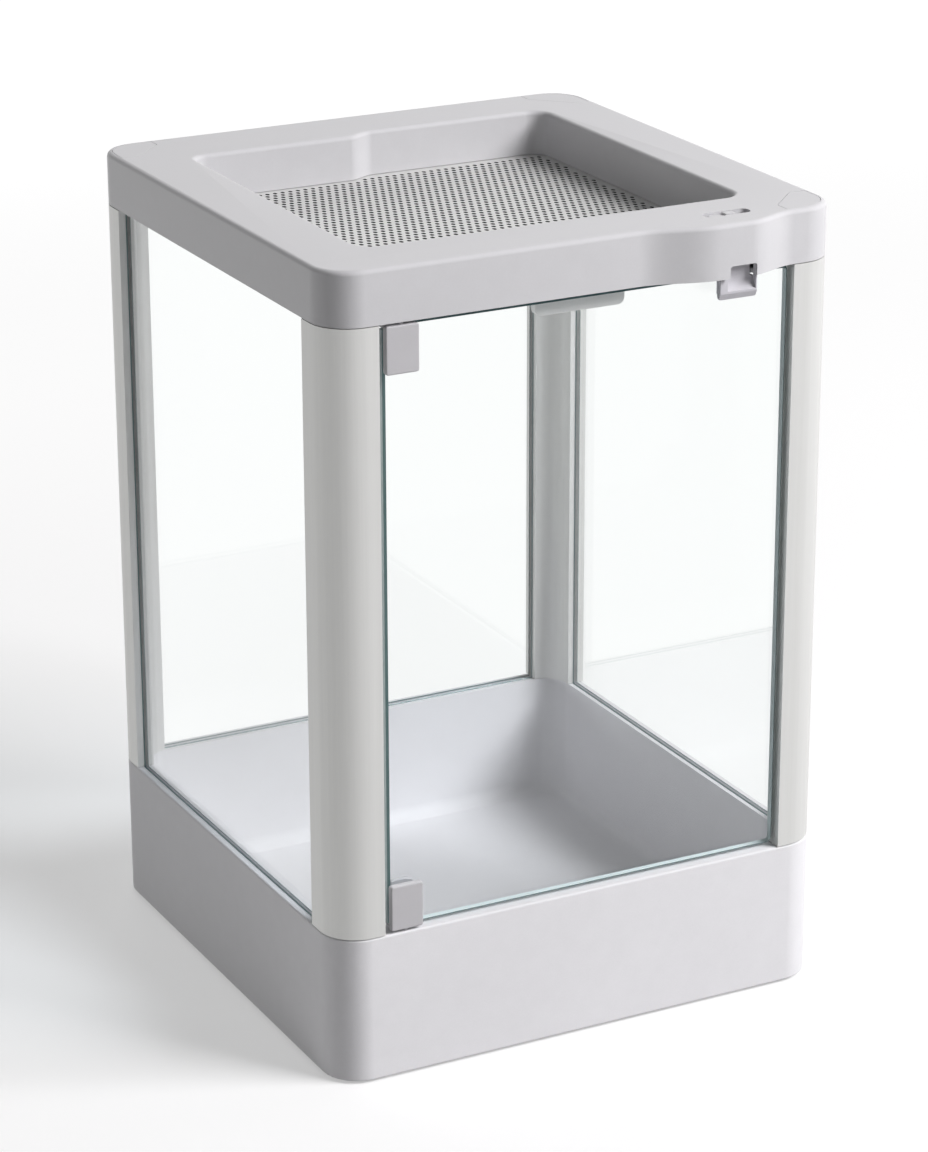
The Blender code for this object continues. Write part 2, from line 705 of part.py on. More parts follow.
def make_frame_liner():
    # Closes the frame from below between the panes, and carries the mesh on its inner ledge.
    outer = offset(frame_outline(), -WALL - GAP)
    inner = offset(recess_outline(), -MESH_LEDGE)
    liner = extruded("frame_liner", [outer, inner], FRAME_BOTTOM, LINER_TOP)
    reach = 2 * GLASS_PLAY + GLASS_THICKNESS
    low = FRAME_BOTTOM - OVERRUN
    high = LINER_TOP + OVERRUN
    side = POST_GROOVE_END
    back = BACK_GROOVE_END
    cut(
        liner,
        block("pane_gap_left", LEFT, LEFT + GLASS_OUTER + reach, FRONT + side, BACK - side, low, high),
        block("pane_gap_right", RIGHT - GLASS_OUTER - reach, RIGHT, FRONT + side, BACK - side, low, high),
        block("pane_gap_back", LEFT + back, RIGHT - back, BACK - GLASS_OUTER - reach, BACK, low, high),
    )
    keeper_back = SLOT_Y + TONGUE_THICKNESS / 2 + KEEPER_SIDE_PLAY + KEEPER_REAR_WALL + KEEPER_PLAY
    cut(liner, block(
        "keeper_gap", LATCH_X - NOTCH_WIDTH / 2, LATCH_X + NOTCH_WIDTH / 2,
        FRONT - BULGE_DEPTH, keeper_back, low, high,
    ))
    for side_x, side_y, where in capped_corners():
        place = corner_place(side_x, side_y, SCREW_INSET)
        radius = SCREW_SHANK_RADIUS + SCREW_HOLE_PLAY
        cut(liner, cylinder(f"liner_hole_{where}", place, radius, low, high))
    finish(liner, PLASTIC)


def make_mesh_panel():
    # A perforated sheet with a plain border, laid on the liner's ledge.
    sheet = offset(recess_outline(), RECESS_WALL - GAP)
    x0 = LEFT + RECESS_SIDE + MESH_LEDGE
    x1 = RIGHT - RECESS_SIDE - MESH_LEDGE
    y0 = FRONT + RECESS_FRONT + MESH_LEDGE
    y1 = BACK - RECESS_BACK_LEFT - MESH_LEDGE
    columns = int((x1 - x0 - MESH_BAR) / MESH_PITCH)
    rows = int((y1 - y0 - MESH_BAR) / MESH_PITCH)
    half = (MESH_PITCH - MESH_BAR) / 2
    holes = []
    for column in range(columns):
        for row in range(rows):
            x = (x0 + x1) / 2 + (column - (columns - 1) / 2) * MESH_PITCH
            y = (y0 + y1) / 2 + (row - (rows - 1) / 2) * MESH_PITCH
            holes.append(box_outline(x - half, x + half, y - half, y + half))
    finish(extruded("mesh_panel", [sheet] + holes, MESH_BOTTOM, MESH_TOP), MESH_METAL)


def make_corner_caps():
    # Flush caps whose stems close the bores over the screw heads.
    for side_x, side_y, where in capped_corners():
        low = HEIGHT - CAP_THICKNESS
        cap = extruded(f"corner_cap_{where}", [in_corner(cap_outline(), side_x, side_y)], low, HEIGHT)
        place = corner_place(side_x, side_y, SCREW_INSET)
        radius = SCREW_HEAD_RADIUS + HEAD_PLAY - GAP
        stem_low = low - CAP_STEM_LENGTH
        join(cap, cylinder(f"cap_stem_{where}", place, radius, stem_low, low + CAP_THICKNESS / 2))
        finish(cap, PLASTIC)


def screw(name, place, seat, shank_end):
    # The head sits on the far side of its seat from the shank's end.
    up = 1 if shank_end > seat else -1
    head_end = seat - up * SCREW_HEAD_HEIGHT
    profile = [
        (0, shank_end),
        (SCREW_SHANK_RADIUS, shank_end),
        (SCREW_SHANK_RADIUS, seat),
        (SCREW_HEAD_RADIUS, seat),
        (SCREW_HEAD_RADIUS, head_end),
        (0, head_end),
    ]
    if up < 0:
        profile.reverse()
    finish(turned(name, place, profile, SMALL_TURN_STEPS), STEEL)


def make_screws():
    for side_x, side_y, where in corners():
        place = corner_place(side_x, side_y, SCREW_INSET)
        screw(f"base_screw_{where}", place, HOLLOW_TOP - GAP, POST_BOTTOM + SCREW_GRIP)
    for side_x, side_y, where in capped_corners():
        place = corner_place(side_x, side_y, SCREW_INSET)
        screw(f"top_screw_{where}", place, HEAD_SEAT + GAP, POST_TOP - SCREW_GRIP)


def make_door_glass():
    # The left corners are cut back where the hinge clips go round the pane's ends.
    soft = 2 * GLASS_EDGE_ROUND
    notch_right = CLIP_RIGHT - CLIP_BRIDGE_INSET + GLASS_PLAY
    outline = rounded([
        (notch_right, DOOR_BOTTOM, soft),
        (DOOR_RIGHT, DOOR_BOTTOM, soft),
        (DOOR_RIGHT, DOOR_TOP, soft),
        (notch_right, DOOR_TOP, soft),
        (notch_right, CLIP_TOP_END - CLIP_NOTCH, 0),
        (DOOR_LEFT, CLIP_TOP_END - CLIP_NOTCH, soft),
        (DOOR_LEFT, CLIP_BOTTOM_END + CLIP_NOTCH, soft),
        (notch_right, CLIP_BOTTOM_END + CLIP_NOTCH, 0),
    ], SMALL_ARC_STEPS)
    finish(extruded_y("door_glass", [outline], DOOR_FRONT, DOOR_BACK, GLASS_EDGE_ROUND), GLASS, DOOR_AXIS)


def make_hinge_clip(name, end, up):
    # Two plates that grip the door's edge, the bridge that joins them, and the pin on the front plate.
    free_end = end - up * CLIP_HEIGHT
    soft = CLIP_CORNER_RADIUS
    front = [
        (CLIP_LEFT, free_end, soft), (CLIP_RIGHT, free_end, soft),
        (CLIP_RIGHT, end, soft), (CLIP_LEFT, end, soft),
    ]
    back_left = CLIP_LEFT + CLIP_RELIEF
    back = [
        (back_left, free_end, soft), (CLIP_RIGHT, free_end, CLIP_BACK_RADIUS),
        (CLIP_RIGHT, end, soft), (back_left, end, soft),
    ]
    if up < 0:
        front.reverse()
        back.reverse()
    outline = rounded(front, SMALL_ARC_STEPS)
    clip = extruded_y(name, [outline], FRONT, DOOR_FRONT - GLASS_PLAY, CLIP_EDGE_ROUND)
    inside = DOOR_BACK + GLASS_PLAY
    outline = rounded(back, SMALL_ARC_STEPS)
    back_plate = extruded_y(
        f"{name}_back_plate", [outline], inside, inside + CLIP_BACK_PLATE, CLIP_EDGE_ROUND
    )
    outer = end - up * CLIP_BRIDGE_SUNK
    heights = sorted((outer, outer - up * CLIP_BRIDGE))
    bridge = block(
        f"{name}_bridge", CLIP_LEFT + CLIP_BRIDGE_INSET, CLIP_RIGHT - CLIP_BRIDGE_INSET,
        PIVOT_Y, inside + CLIP_BACK_PLATE / 2, *heights,
    )
    ends = sorted((end - up * CLIP_BRIDGE, end + up * PIVOT_LENGTH))
    pin = cylinder(f"{name}_pin", (PIVOT_X, PIVOT_Y), PIVOT_RADIUS, *ends, SMALL_TURN_STEPS)
    join(clip, bridge, back_plate, pin)
    finish(clip, CLIP_PLASTIC, DOOR_AXIS)


def make_door_handle():
    # A pull in two layers in front of the pane, on a neck. The keeper stands on the neck behind the
    # notch and bridges the pane's top edge to a plate behind it.
    x0 = HANDLE_X - HANDLE_WIDTH / 2
    x1 = HANDLE_X + HANDLE_WIDTH / 2
    face = DOOR_FRONT - HANDLE_FRONT
    seam = face + HANDLE_LAYER
    low = FRAME_BOTTOM - HANDLE_DROP
    soft = HANDLE_CORNER_RADIUS
    small = 2 * HANDLE_EDGE_ROUND
    step = HANDLE_LAYER_STEP
    outer = [(x0, low, soft), (x1, low, small), (x1, HANDLE_TOP, small), (x0, HANDLE_TOP, small)]
    inner = [
        (x0 + step, low + step, soft - step / 2), (x1 - step, low + step, small - step / 2),
        (x1 - step, HANDLE_TOP - step, small - step / 2), (x0 + step, HANDLE_TOP - step, small - step / 2),
    ]
    outline = rounded(outer, SMALL_ARC_STEPS)
    handle = extruded_y("door_handle", [outline], seam, seam + HANDLE_LAYER, HANDLE_EDGE_ROUND)
    outline = rounded(inner, SMALL_ARC_STEPS)
    front_layer = extruded_y("handle_front_layer", [outline], face, seam + small, HANDLE_EDGE_ROUND)
    neck = block(
        "handle_neck", x0 + NECK_INSET_LEFT, x1 - NECK_INSET_RIGHT,
        seam + HANDLE_LAYER / 2, DOOR_FRONT - GLASS_PLAY, low + NECK_RISE, HANDLE_TOP - NECK_RISE,
    )
    bridge_low = DOOR_TOP + GLASS_PLAY
    groove_front = SLOT_Y - TONGUE_THICKNESS / 2 - KEEPER_SIDE_PLAY
    groove_back = SLOT_Y + TONGUE_THICKNESS / 2 + KEEPER_SIDE_PLAY
    groove_floor = FRAME_BOTTOM + KEEPER_FLOOR
    keeper_back = groove_back + KEEPER_REAR_WALL
    keeper_front = seam + HANDLE_EDGE_ROUND
    keeper_foot = HANDLE_TOP - KEEPER_ROOT
    keeper = rounded([
        (keeper_front, keeper_foot, KEEPER_RADIUS),
        (DOOR_FRONT - 2 * GLASS_PLAY, keeper_foot, 0),
        (DOOR_FRONT - 2 * GLASS_PLAY, bridge_low, 0),
        (keeper_back, bridge_low, KEEPER_RADIUS),
        (keeper_back, KEEPER_TOP, KEEPER_RADIUS),
        (keeper_front, KEEPER_TOP, KEEPER_RADIUS),
    ], SMALL_ARC_STEPS)
    back_plate = block(
        "handle_back_plate", KEEPER_LEFT + HANDLE_BACK_INSET_LEFT, KEEPER_RIGHT - HANDLE_BACK_INSET_RIGHT,
        DOOR_BACK + GLASS_PLAY, keeper_back - KEEPER_EDGE_ROUND / 2,
        low + NECK_RISE, groove_floor - KEEPER_FLOOR / 2,
    )
    join(
        handle, front_layer, neck, back_plate,
        extruded_x("keeper", [keeper], KEEPER_LEFT, KEEPER_RIGHT, KEEPER_EDGE_ROUND),
    )
    lip = low + SCOOP_LIP
    radii = (SCOOP_DEPTH + HANDLE_EDGE_ROUND, SCOOP_RISE)
    scoop = [(face - OVERRUN, lip)]
    scoop += arc((face - HANDLE_EDGE_ROUND, lip + SCOOP_RISE), radii, 270, 360, SMALL_ARC_STEPS)
    scoop += [(face + SCOOP_DEPTH, KEEPER_TOP + OVERRUN), (face - OVERRUN, KEEPER_TOP + OVERRUN)]
    # Below its ridge the lip's face runs back to the foot of the handle.
    slope = Vector((LIP_SLOPE, low - lip + LIP_LAND))
    above = Vector((face, lip - LIP_LAND)) - slope / 2
    below = Vector((face, lip - LIP_LAND)) + slope * 3 / 2
    wedge = [tuple(above), (above.x, below.y), tuple(below)]
    cut(
        handle,
        extruded_x("lip_slope", [wedge], x0 - OVERRUN, x1 + OVERRUN),
        extruded_x("finger_scoop", [scoop], x0 + SCOOP_CHEEK, x1 - SCOOP_FAR_CHEEK),
        block(
            "keeper_groove", x0, x1 + OVERRUN, groove_front, groove_back,
            groove_floor, KEEPER_TOP + OVERRUN,
        ),
    )
    finish(handle, PLASTIC, DOOR_AXIS)


def make_door_stop():
    # A tab under the liner that the closed door leans on.
    x0 = -STOP_OFF_CENTRE - STOP_WIDTH / 2
    x1 = -STOP_OFF_CENTRE + STOP_WIDTH / 2
    high = FRAME_BOTTOM - GAP
    low = FRAME_BOTTOM - STOP_DROP
    front = DOOR_BACK + GAP
    tab = rounded([(x0, low, STOP_RADIUS), (x1, low, STOP_RADIUS), (x1, high, 0), (x0, high, 0)], ARC_STEPS)
    stop = extruded_y("door_stop", [tab], front, front + STOP_THICKNESS)
    join(stop, block(
        "stop_foot", x0, x1, front + STOP_THICKNESS / 2, front + STOP_FOOT,
        high - STOP_FOOT_THICKNESS, high,
    ))
    finish(stop, CLIP_PLASTIC)


def make_lock_slider():
    # A block in the slot, a flange under the deck, and a leg whose tongue enters the keeper.
    x0 = BLOCK_X - BLOCK_LENGTH / 2
    x1 = BLOCK_X + BLOCK_LENGTH / 2
    half = SLOT_WIDTH / 2 - GAP
    outline = box_outline(x0, x1, SLOT_Y - half, SLOT_Y + half, half - GAP)
    slider = extruded("lock_slider", [outline], FLANGE_BOTTOM + FLANGE_THICKNESS / 2, HEIGHT - BLOCK_SUNK)
    ridge = rounded([
        (x1 - RIDGE_INSET - RIDGE_LENGTH, HEIGHT - 2 * BLOCK_SUNK, 0),
        (x1 - RIDGE_INSET, HEIGHT - 2 * BLOCK_SUNK, 0),
        (x1 - RIDGE_INSET, HEIGHT, BLOCK_SUNK / 2),
        (x1 - RIDGE_INSET - RIDGE_LENGTH, HEIGHT, BLOCK_SUNK / 2),
    ], SMALL_ARC_STEPS)
    grip = half - RIDGE_INSET
    join(slider, extruded_y("grip_ridge", [ridge], SLOT_Y - grip, SLOT_Y + grip))
    join(slider, block(
        "slider_flange", FLANGE_LEFT, FLANGE_RIGHT,
        SLOT_Y - FLANGE_WIDTH / 2, SLOT_Y + FLANGE_WIDTH / 2, FLANGE_BOTTOM, FLANGE_TOP,
    ))
    leg = [
        (LEG_LEFT, TONGUE_BOTTOM),
        (TONGUE_TIP, TONGUE_BOTTOM),
        (TONGUE_TIP, TONGUE_BOTTOM + TONGUE_HEIGHT),
        (LEG_RIGHT, TONGUE_BOTTOM + TONGUE_HEIGHT),
        (LEG_RIGHT, FLANGE_TOP),
        (LEG_LEFT, FLANGE_TOP),
    ]
    half_tongue = TONGUE_THICKNESS / 2
    join(slider, extruded_y("slider_leg", [leg], SLOT_Y - half_tongue, SLOT_Y + half_tongue))
    finish(slider, PLASTIC, LOCK_AXIS)


def make_lock_guide():
    # A bridge fixed under the deck, with a slot that the slider's leg runs in.
    left = FLANGE_LEFT - LOCK_TRAVEL_OPEN - GUIDE_PLAY
    right = FLANGE_RIGHT + LOCK_TRAVEL_SHUT + GUIDE_PLAY
    high = DECK_UNDERSIDE - GAP
    profile = [
        (left - GUIDE_POST, GUIDE_BOTTOM),
        (right + GUIDE_POST, GUIDE_BOTTOM),
        (right + GUIDE_POST, high),
        (right, high),
        (right, GUIDE_TOP),
        (left, GUIDE_TOP),
        (left, high),
        (left - GUIDE_POST, high),
    ]
    guide = extruded_y("lock_guide", [profile], SLOT_Y - GUIDE_WIDTH / 2, SLOT_Y + GUIDE_WIDTH / 2)
    half = TONGUE_THICKNESS / 2 + GAP
    cut(guide, block(
        "leg_slot", LEG_LEFT - LOCK_TRAVEL_OPEN - GUIDE_PLAY, LEG_RIGHT + LOCK_TRAVEL_SHUT + GUIDE_PLAY,
        SLOT_Y - half, SLOT_Y + half, GUIDE_BOTTOM - OVERRUN, GUIDE_TOP + OVERRUN,
    ))
    finish(guide, CLIP_PLASTIC)


clear_scene()
PARTS = new_collection(NAME)
CUTTERS = new_collection("cutters")

# The datum stands back by half the bulge, so that the whole part is centred on the origin.
DATUM = new_empty("datum", (0, BULGE_DEPTH / 2, 0))
DOOR_AXIS = new_empty("door_axis", (PIVOT_X, PIVOT_Y, 0), DATUM)
LOCK_AXIS = new_empty("lock_axis", (SLOT_X, SLOT_Y, HEIGHT), DATUM)

PLASTIC = new_material("moulded_plastic", (0.66, 0.66, 0.68), 0.42)
CLIP_PLASTIC = new_material("clip_plastic", (0.60, 0.59, 0.61), 0.45)
ALUMINIUM = new_material("anodised_aluminium", (0.78, 0.78, 0.76), 0.38, metallic=0.85)
GLASS = new_material("clear_glass", (0.86, 0.95, 0.93), 0.02, transmission=1.0)
MESH_METAL = new_material("mesh_metal", (0.70, 0.70, 0.69), 0.40, metallic=0.6)
RUBBER = new_material("rubber", (0.10, 0.10, 0.10), 0.80)
STEEL = new_material("screw_steel", (0.62, 0.62, 0.62), 0.30, metallic=1.0)

make_base_tray()
make_feet()
make_posts()
make_fixed_glass()
make_top_frame()
make_frame_liner()
make_mesh_panel()
make_corner_caps()
make_screws()
make_door_glass()
make_hinge_clip("hinge_clip_upper", CLIP_TOP_END, 1)
make_hinge_clip("hinge_clip_lower", CLIP_BOTTOM_END, -1)
make_door_handle()
make_door_stop()
make_lock_slider()
make_lock_guide()
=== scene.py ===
import math

import bmesh
import bpy
from mathutils import Euler, Matrix, Vector


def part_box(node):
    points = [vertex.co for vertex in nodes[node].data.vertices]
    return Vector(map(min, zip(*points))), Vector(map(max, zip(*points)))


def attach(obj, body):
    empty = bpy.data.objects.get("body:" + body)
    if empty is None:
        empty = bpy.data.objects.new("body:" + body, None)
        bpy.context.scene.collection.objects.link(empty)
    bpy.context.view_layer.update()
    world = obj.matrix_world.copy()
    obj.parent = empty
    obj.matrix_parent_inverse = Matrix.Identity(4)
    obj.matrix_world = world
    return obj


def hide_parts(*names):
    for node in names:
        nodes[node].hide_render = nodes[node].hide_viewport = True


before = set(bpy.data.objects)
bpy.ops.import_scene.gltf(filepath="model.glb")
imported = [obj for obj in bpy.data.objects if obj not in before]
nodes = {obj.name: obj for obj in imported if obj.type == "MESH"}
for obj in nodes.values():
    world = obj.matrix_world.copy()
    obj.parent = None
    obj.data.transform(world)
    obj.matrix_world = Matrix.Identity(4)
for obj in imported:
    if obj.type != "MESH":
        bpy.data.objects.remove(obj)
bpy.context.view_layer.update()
print("frame loaded:", len(nodes), "solids")


def linkValue(tree, target, value):
    # value is a socket to link, or a plain value for the socket itself
    if isinstance(value, bpy.types.NodeSocket):
        tree.links.new(value, target)
    elif value is not None:
        target.default_value = value


def addNode(tree, kind, inputs=None, **settings):
    node = tree.nodes.new(kind)
    for name, value in settings.items():
        setattr(node, name, value)
    for key, value in (inputs or {}).items():
        linkValue(tree, node.inputs[key], value)
    return node


def addMath(tree, operation, first, second=None, clamp=False):
    node = addNode(tree, "ShaderNodeMath", {0: first}, operation=operation, use_clamp=clamp)
    linkValue(tree, node.inputs[1], second)
    return node.outputs[0]


def mixColour(tree, share, first, second, blend="MIX"):
    node = addNode(tree, "ShaderNodeMix", data_type="RGBA", blend_type=blend)
    linkValue(tree, node.inputs[0], share)
    linkValue(tree, node.inputs[6], first)
    linkValue(tree, node.inputs[7], second)
    return node.outputs[2]


def mapRange(tree, value, fromLow, fromHigh, toLow, toHigh, smooth=False):
    kind = "SMOOTHSTEP" if smooth else "LINEAR"
    node = addNode(tree, "ShaderNodeMapRange", interpolation_type=kind)
    for index, item in enumerate((value, fromLow, fromHigh, toLow, toHigh)):
        linkValue(tree, node.inputs[index], item)
    return node.outputs[0]


def newGroup(name, inputs, outputs):
    group = bpy.data.node_groups.new(name, "ShaderNodeTree")
    for label, kind, value in inputs:
        socket = group.interface.new_socket(label, in_out="INPUT", socket_type=kind)
        socket.default_value = value
    for label, kind in outputs:
        group.interface.new_socket(label, in_out="OUTPUT", socket_type=kind)
    return group, group.nodes.new("NodeGroupInput"), group.nodes.new("NodeGroupOutput")


def useGroup(tree, group, **values):
    node = tree.nodes.new("ShaderNodeGroup")
    node.node_tree = group
    for name, value in values.items():
        linkValue(tree, node.inputs[name], value)
    return node


# satin moulding: a fine spark-eroded texture with a slow drift of tone
# each tone range says how dark and how light the colour gets where that noise is low and high
mould = {
    "driftScale": 16.0, "driftTone": (0.98, 1.018), "cloudScale": 160.0, "cloudTone": (0.988, 1.01),
    "speckTone": (0.985, 1.012), "sheenRange": (-0.04, 0.05), "bumpDistance": 0.00008,
}
mouldGrain, gIn, gOut = newGroup("mouldGrain", [
    ("Colour", "NodeSocketColor", (0.6, 0.6, 0.6, 1)),
    ("Roughness", "NodeSocketFloat", 0.4),
    ("GrainScale", "NodeSocketFloat", 1500.0),
    ("GrainDepth", "NodeSocketFloat", 0.2),
], [("Colour", "NodeSocketColor"), ("Roughness", "NodeSocketFloat"), ("Normal", "NodeSocketVector")])
place = addNode(mouldGrain, "ShaderNodeTexCoord").outputs["Object"]
fine = addNode(mouldGrain, "ShaderNodeTexNoise", {
    "Vector": place, "Scale": gIn.outputs["GrainScale"], "Detail": 2.0, "Roughness": 0.6,
}).outputs[0]
drift = addNode(mouldGrain, "ShaderNodeTexNoise", {
    "Vector": place, "Scale": mould["driftScale"], "Detail": 3.0,
}).outputs[0]
cloud = addNode(mouldGrain, "ShaderNodeTexNoise", {
    "Vector": place, "Scale": mould["cloudScale"], "Detail": 4.0,
}).outputs[0]
lift = mapRange(mouldGrain, drift, 0.3, 0.7, *mould["driftTone"])
speck = mapRange(mouldGrain, fine, 0.25, 0.75, *mould["speckTone"])
mottle = mapRange(mouldGrain, cloud, 0.3, 0.7, *mould["cloudTone"])
tone = addMath(mouldGrain, "MULTIPLY", addMath(mouldGrain, "MULTIPLY", lift, speck), mottle)
tinted = addNode(mouldGrain, "ShaderNodeVectorMath", {0: gIn.outputs["Colour"]}, operation="SCALE")
linkValue(mouldGrain, tinted.inputs["Scale"], tone)
linkValue(mouldGrain, gOut.inputs["Colour"], tinted.outputs[0])
sheen = addMath(mouldGrain, "ADD", drift, cloud)
rough = addMath(
    mouldGrain, "ADD", gIn.outputs["Roughness"], mapRange(mouldGrain, sheen, 0.7, 1.3, *mould["sheenRange"]))
linkValue(mouldGrain, gOut.inputs["Roughness"], rough)
bump = addNode(mouldGrain, "ShaderNodeBump", {
    "Strength": gIn.outputs["GrainDepth"], "Distance": mould["bumpDistance"], "Height": fine,
})
linkValue(mouldGrain, gOut.inputs["Normal"], bump.outputs[0])

# drawn metal: fine and broad streaks, both long along Z
drawing = {"squeeze": 0.012, "fineScale": 2600.0, "broadScale": 420.0, "bumpDistance": 0.00003}
drawnLines, gIn, gOut = newGroup("drawnLines", [
    ("Colour", "NodeSocketColor", (0.8, 0.8, 0.8, 1)),
    ("Roughness", "NodeSocketFloat", 0.35),
    ("Streak", "NodeSocketFloat", 0.05),
    ("Bands", "NodeSocketFloat", 0.2),
    ("Depth", "NodeSocketFloat", 0.1),
], [("Colour", "NodeSocketColor"), ("Roughness", "NodeSocketFloat"), ("Normal", "NodeSocketVector")])
place = addNode(drawnLines, "ShaderNodeTexCoord").outputs["Object"]
stretched = addNode(drawnLines, "ShaderNodeMapping", {
    "Vector": place, "Scale": (1.0, 1.0, drawing["squeeze"]),
}).outputs[0]
lines = addNode(drawnLines, "ShaderNodeTexNoise", {
    "Vector": stretched, "Scale": drawing["fineScale"], "Detail": 3.0,
}).outputs[0]
broad = addNode(drawnLines, "ShaderNodeTexNoise", {
    "Vector": stretched, "Scale": drawing["broadScale"], "Detail": 2.0,
}).outputs[0]
swing = addMath(drawnLines, "MULTIPLY", addMath(drawnLines, "SUBTRACT", lines, 0.5), gIn.outputs["Streak"])
swing = addMath(drawnLines, "ADD", swing, addMath(
    drawnLines, "MULTIPLY", addMath(drawnLines, "SUBTRACT", broad, 0.5), gIn.outputs["Bands"]))
tinted = addNode(drawnLines, "ShaderNodeVectorMath", {0: gIn.outputs["Colour"]}, operation="SCALE")
linkValue(drawnLines, tinted.inputs["Scale"], addMath(drawnLines, "ADD", swing, 1.0))
linkValue(drawnLines, gOut.inputs["Colour"], tinted.outputs[0])
rough = addMath(drawnLines, "ADD", gIn.outputs["Roughness"], addMath(drawnLines, "MULTIPLY", swing, 1.5))
linkValue(drawnLines, gOut.inputs["Roughness"], rough)
bump = addNode(drawnLines, "ShaderNodeBump", {
    "Strength": gIn.outputs["Depth"], "Distance": drawing["bumpDistance"], "Height": lines,
})
linkValue(drawnLines, gOut.inputs["Normal"], bump.outputs[0])

# dust: a pale veil on what faces up
dustVeil, gIn, gOut = newGroup("dustVeil", [
    ("Colour", "NodeSocketColor", (0.6, 0.6, 0.6, 1)),
    ("Roughness", "NodeSocketFloat", 0.4),
    ("Amount", "NodeSocketFloat", 0.06),
], [("Colour", "NodeSocketColor"), ("Roughness", "NodeSocketFloat")])
place = addNode(dustVeil, "ShaderNodeTexCoord").outputs["Object"]
facing = addNode(dustVeil, "ShaderNodeNewGeometry").outputs["Normal"]
upward = addNode(dustVeil, "ShaderNodeSeparateXYZ", {0: facing}).outputs["Z"]
patches = addNode(dustVeil, "ShaderNodeTexNoise", {"Vector": place, "Scale": 60.0, "Detail": 5.0}).outputs[0]
veil = addMath(dustVeil, "MULTIPLY", mapRange(dustVeil, upward, 0.4, 1.0, 0.0, 1.0), patches)
veil = addMath(dustVeil, "MULTIPLY", veil, gIn.outputs["Amount"], clamp=True)
dusty = mixColour(dustVeil, veil, gIn.outputs["Colour"], (0.78, 0.77, 0.75, 1))
linkValue(dustVeil, gOut.inputs["Colour"], dusty)
linkValue(dustVeil, gOut.inputs["Roughness"], addMath(dustVeil, "ADD", gIn.outputs["Roughness"], veil))

def ownNormal(tree):
    # the surface's own direction, which turns with the door
    facing = addNode(tree, "ShaderNodeNewGeometry").outputs["True Normal"]
    turned = addNode(
        tree, "ShaderNodeVectorTransform", {0: facing}, vector_type="NORMAL", convert_from="WORLD",
        convert_to="OBJECT",
    )
    return turned.outputs[0]


# glass edge: the tint and the satin finish of a pane's ground edges; the light mint of the arris is partly the
# glass's green and partly a painted highlight
# the pane's faces, arrises and edges are told apart by how squarely they look along Across
zoneRange = {"arris": (0.90, 0.97), "edge": (0.15, 0.35), "shadow": (0.5, 0.9)}
groundScale = 1400.0
paneEdge, gIn, gOut = newGroup("paneEdge", [
    ("Face", "NodeSocketColor", (1, 1, 1, 1)),
    ("Arris", "NodeSocketColor", (0.7, 0.9, 0.85, 1)),
    ("Edge", "NodeSocketColor", (0.4, 0.7, 0.65, 1)),
    ("Across", "NodeSocketVector", (1, 0, 0)),
    ("EdgeRoughness", "NodeSocketFloat", 0.4),
], [("Colour", "NodeSocketColor"), ("Roughness", "NodeSocketFloat"), ("Height", "NodeSocketFloat")])
facing = ownNormal(paneEdge)
across = addNode(paneEdge, "ShaderNodeVectorMath", {0: facing, 1: gIn.outputs["Across"]}, operation="DOT_PRODUCT")
square = addMath(paneEdge, "ABSOLUTE", across.outputs["Value"])
offFace = mapRange(paneEdge, square, *zoneRange["arris"], 1.0, 0.0)
onEdge = mapRange(paneEdge, square, *zoneRange["edge"], 1.0, 0.0)
zones = mixColour(paneEdge, offFace, gIn.outputs["Face"], gIn.outputs["Arris"])
linkValue(paneEdge, gOut.inputs["Colour"], mixColour(paneEdge, onEdge, zones, gIn.outputs["Edge"]))
linkValue(paneEdge, gOut.inputs["Roughness"], addMath(paneEdge, "MULTIPLY", offFace, gIn.outputs["EdgeRoughness"]))
place = addNode(paneEdge, "ShaderNodeTexCoord").outputs["Object"]
ground = addNode(paneEdge, "ShaderNodeTexNoise", {"Vector": place, "Scale": groundScale, "Detail": 2.0}).outputs[0]
linkValue(paneEdge, gOut.inputs["Height"], addMath(paneEdge, "MULTIPLY", ground, offFace))


def newMaterial(name):
    material = bpy.data.materials.new(name)
    material.use_nodes = True
    return material, material.node_tree, material.node_tree.nodes["Principled BSDF"]


def makePlastic(name, look):
    material, tree, shader = newMaterial(name)
    grain = useGroup(
        tree, mouldGrain, Colour=(*look["colour"], 1), Roughness=look["roughness"],
        GrainScale=look["grainScale"], GrainDepth=look["grainDepth"],
    )
    dust = useGroup(
        tree, dustVeil, Colour=grain.outputs["Colour"], Roughness=grain.outputs["Roughness"], Amount=look["dust"],
    )
    linkValue(tree, shader.inputs["Base Color"], dust.outputs["Colour"])
    linkValue(tree, shader.inputs["Roughness"], dust.outputs["Roughness"])
    linkValue(tree, shader.inputs["Normal"], grain.outputs["Normal"])
    shader.inputs["Specular IOR Level"].default_value = look["specular"]
    return material


def makeMetal(name, look):
    material, tree, shader = newMaterial(name)
    drawn = useGroup(
        tree, drawnLines, Colour=(*look["colour"], 1), Roughness=look["roughness"],
        Streak=look["streak"], Bands=look["bands"], Depth=look["depth"],
    )
    linkValue(tree, shader.inputs["Base Color"], drawn.outputs["Colour"])
    linkValue(tree, shader.inputs["Roughness"], drawn.outputs["Roughness"])
    linkValue(tree, shader.inputs["Normal"], drawn.outputs["Normal"])
    shader.inputs["Metallic"].default_value = look["metallic"]
    return material


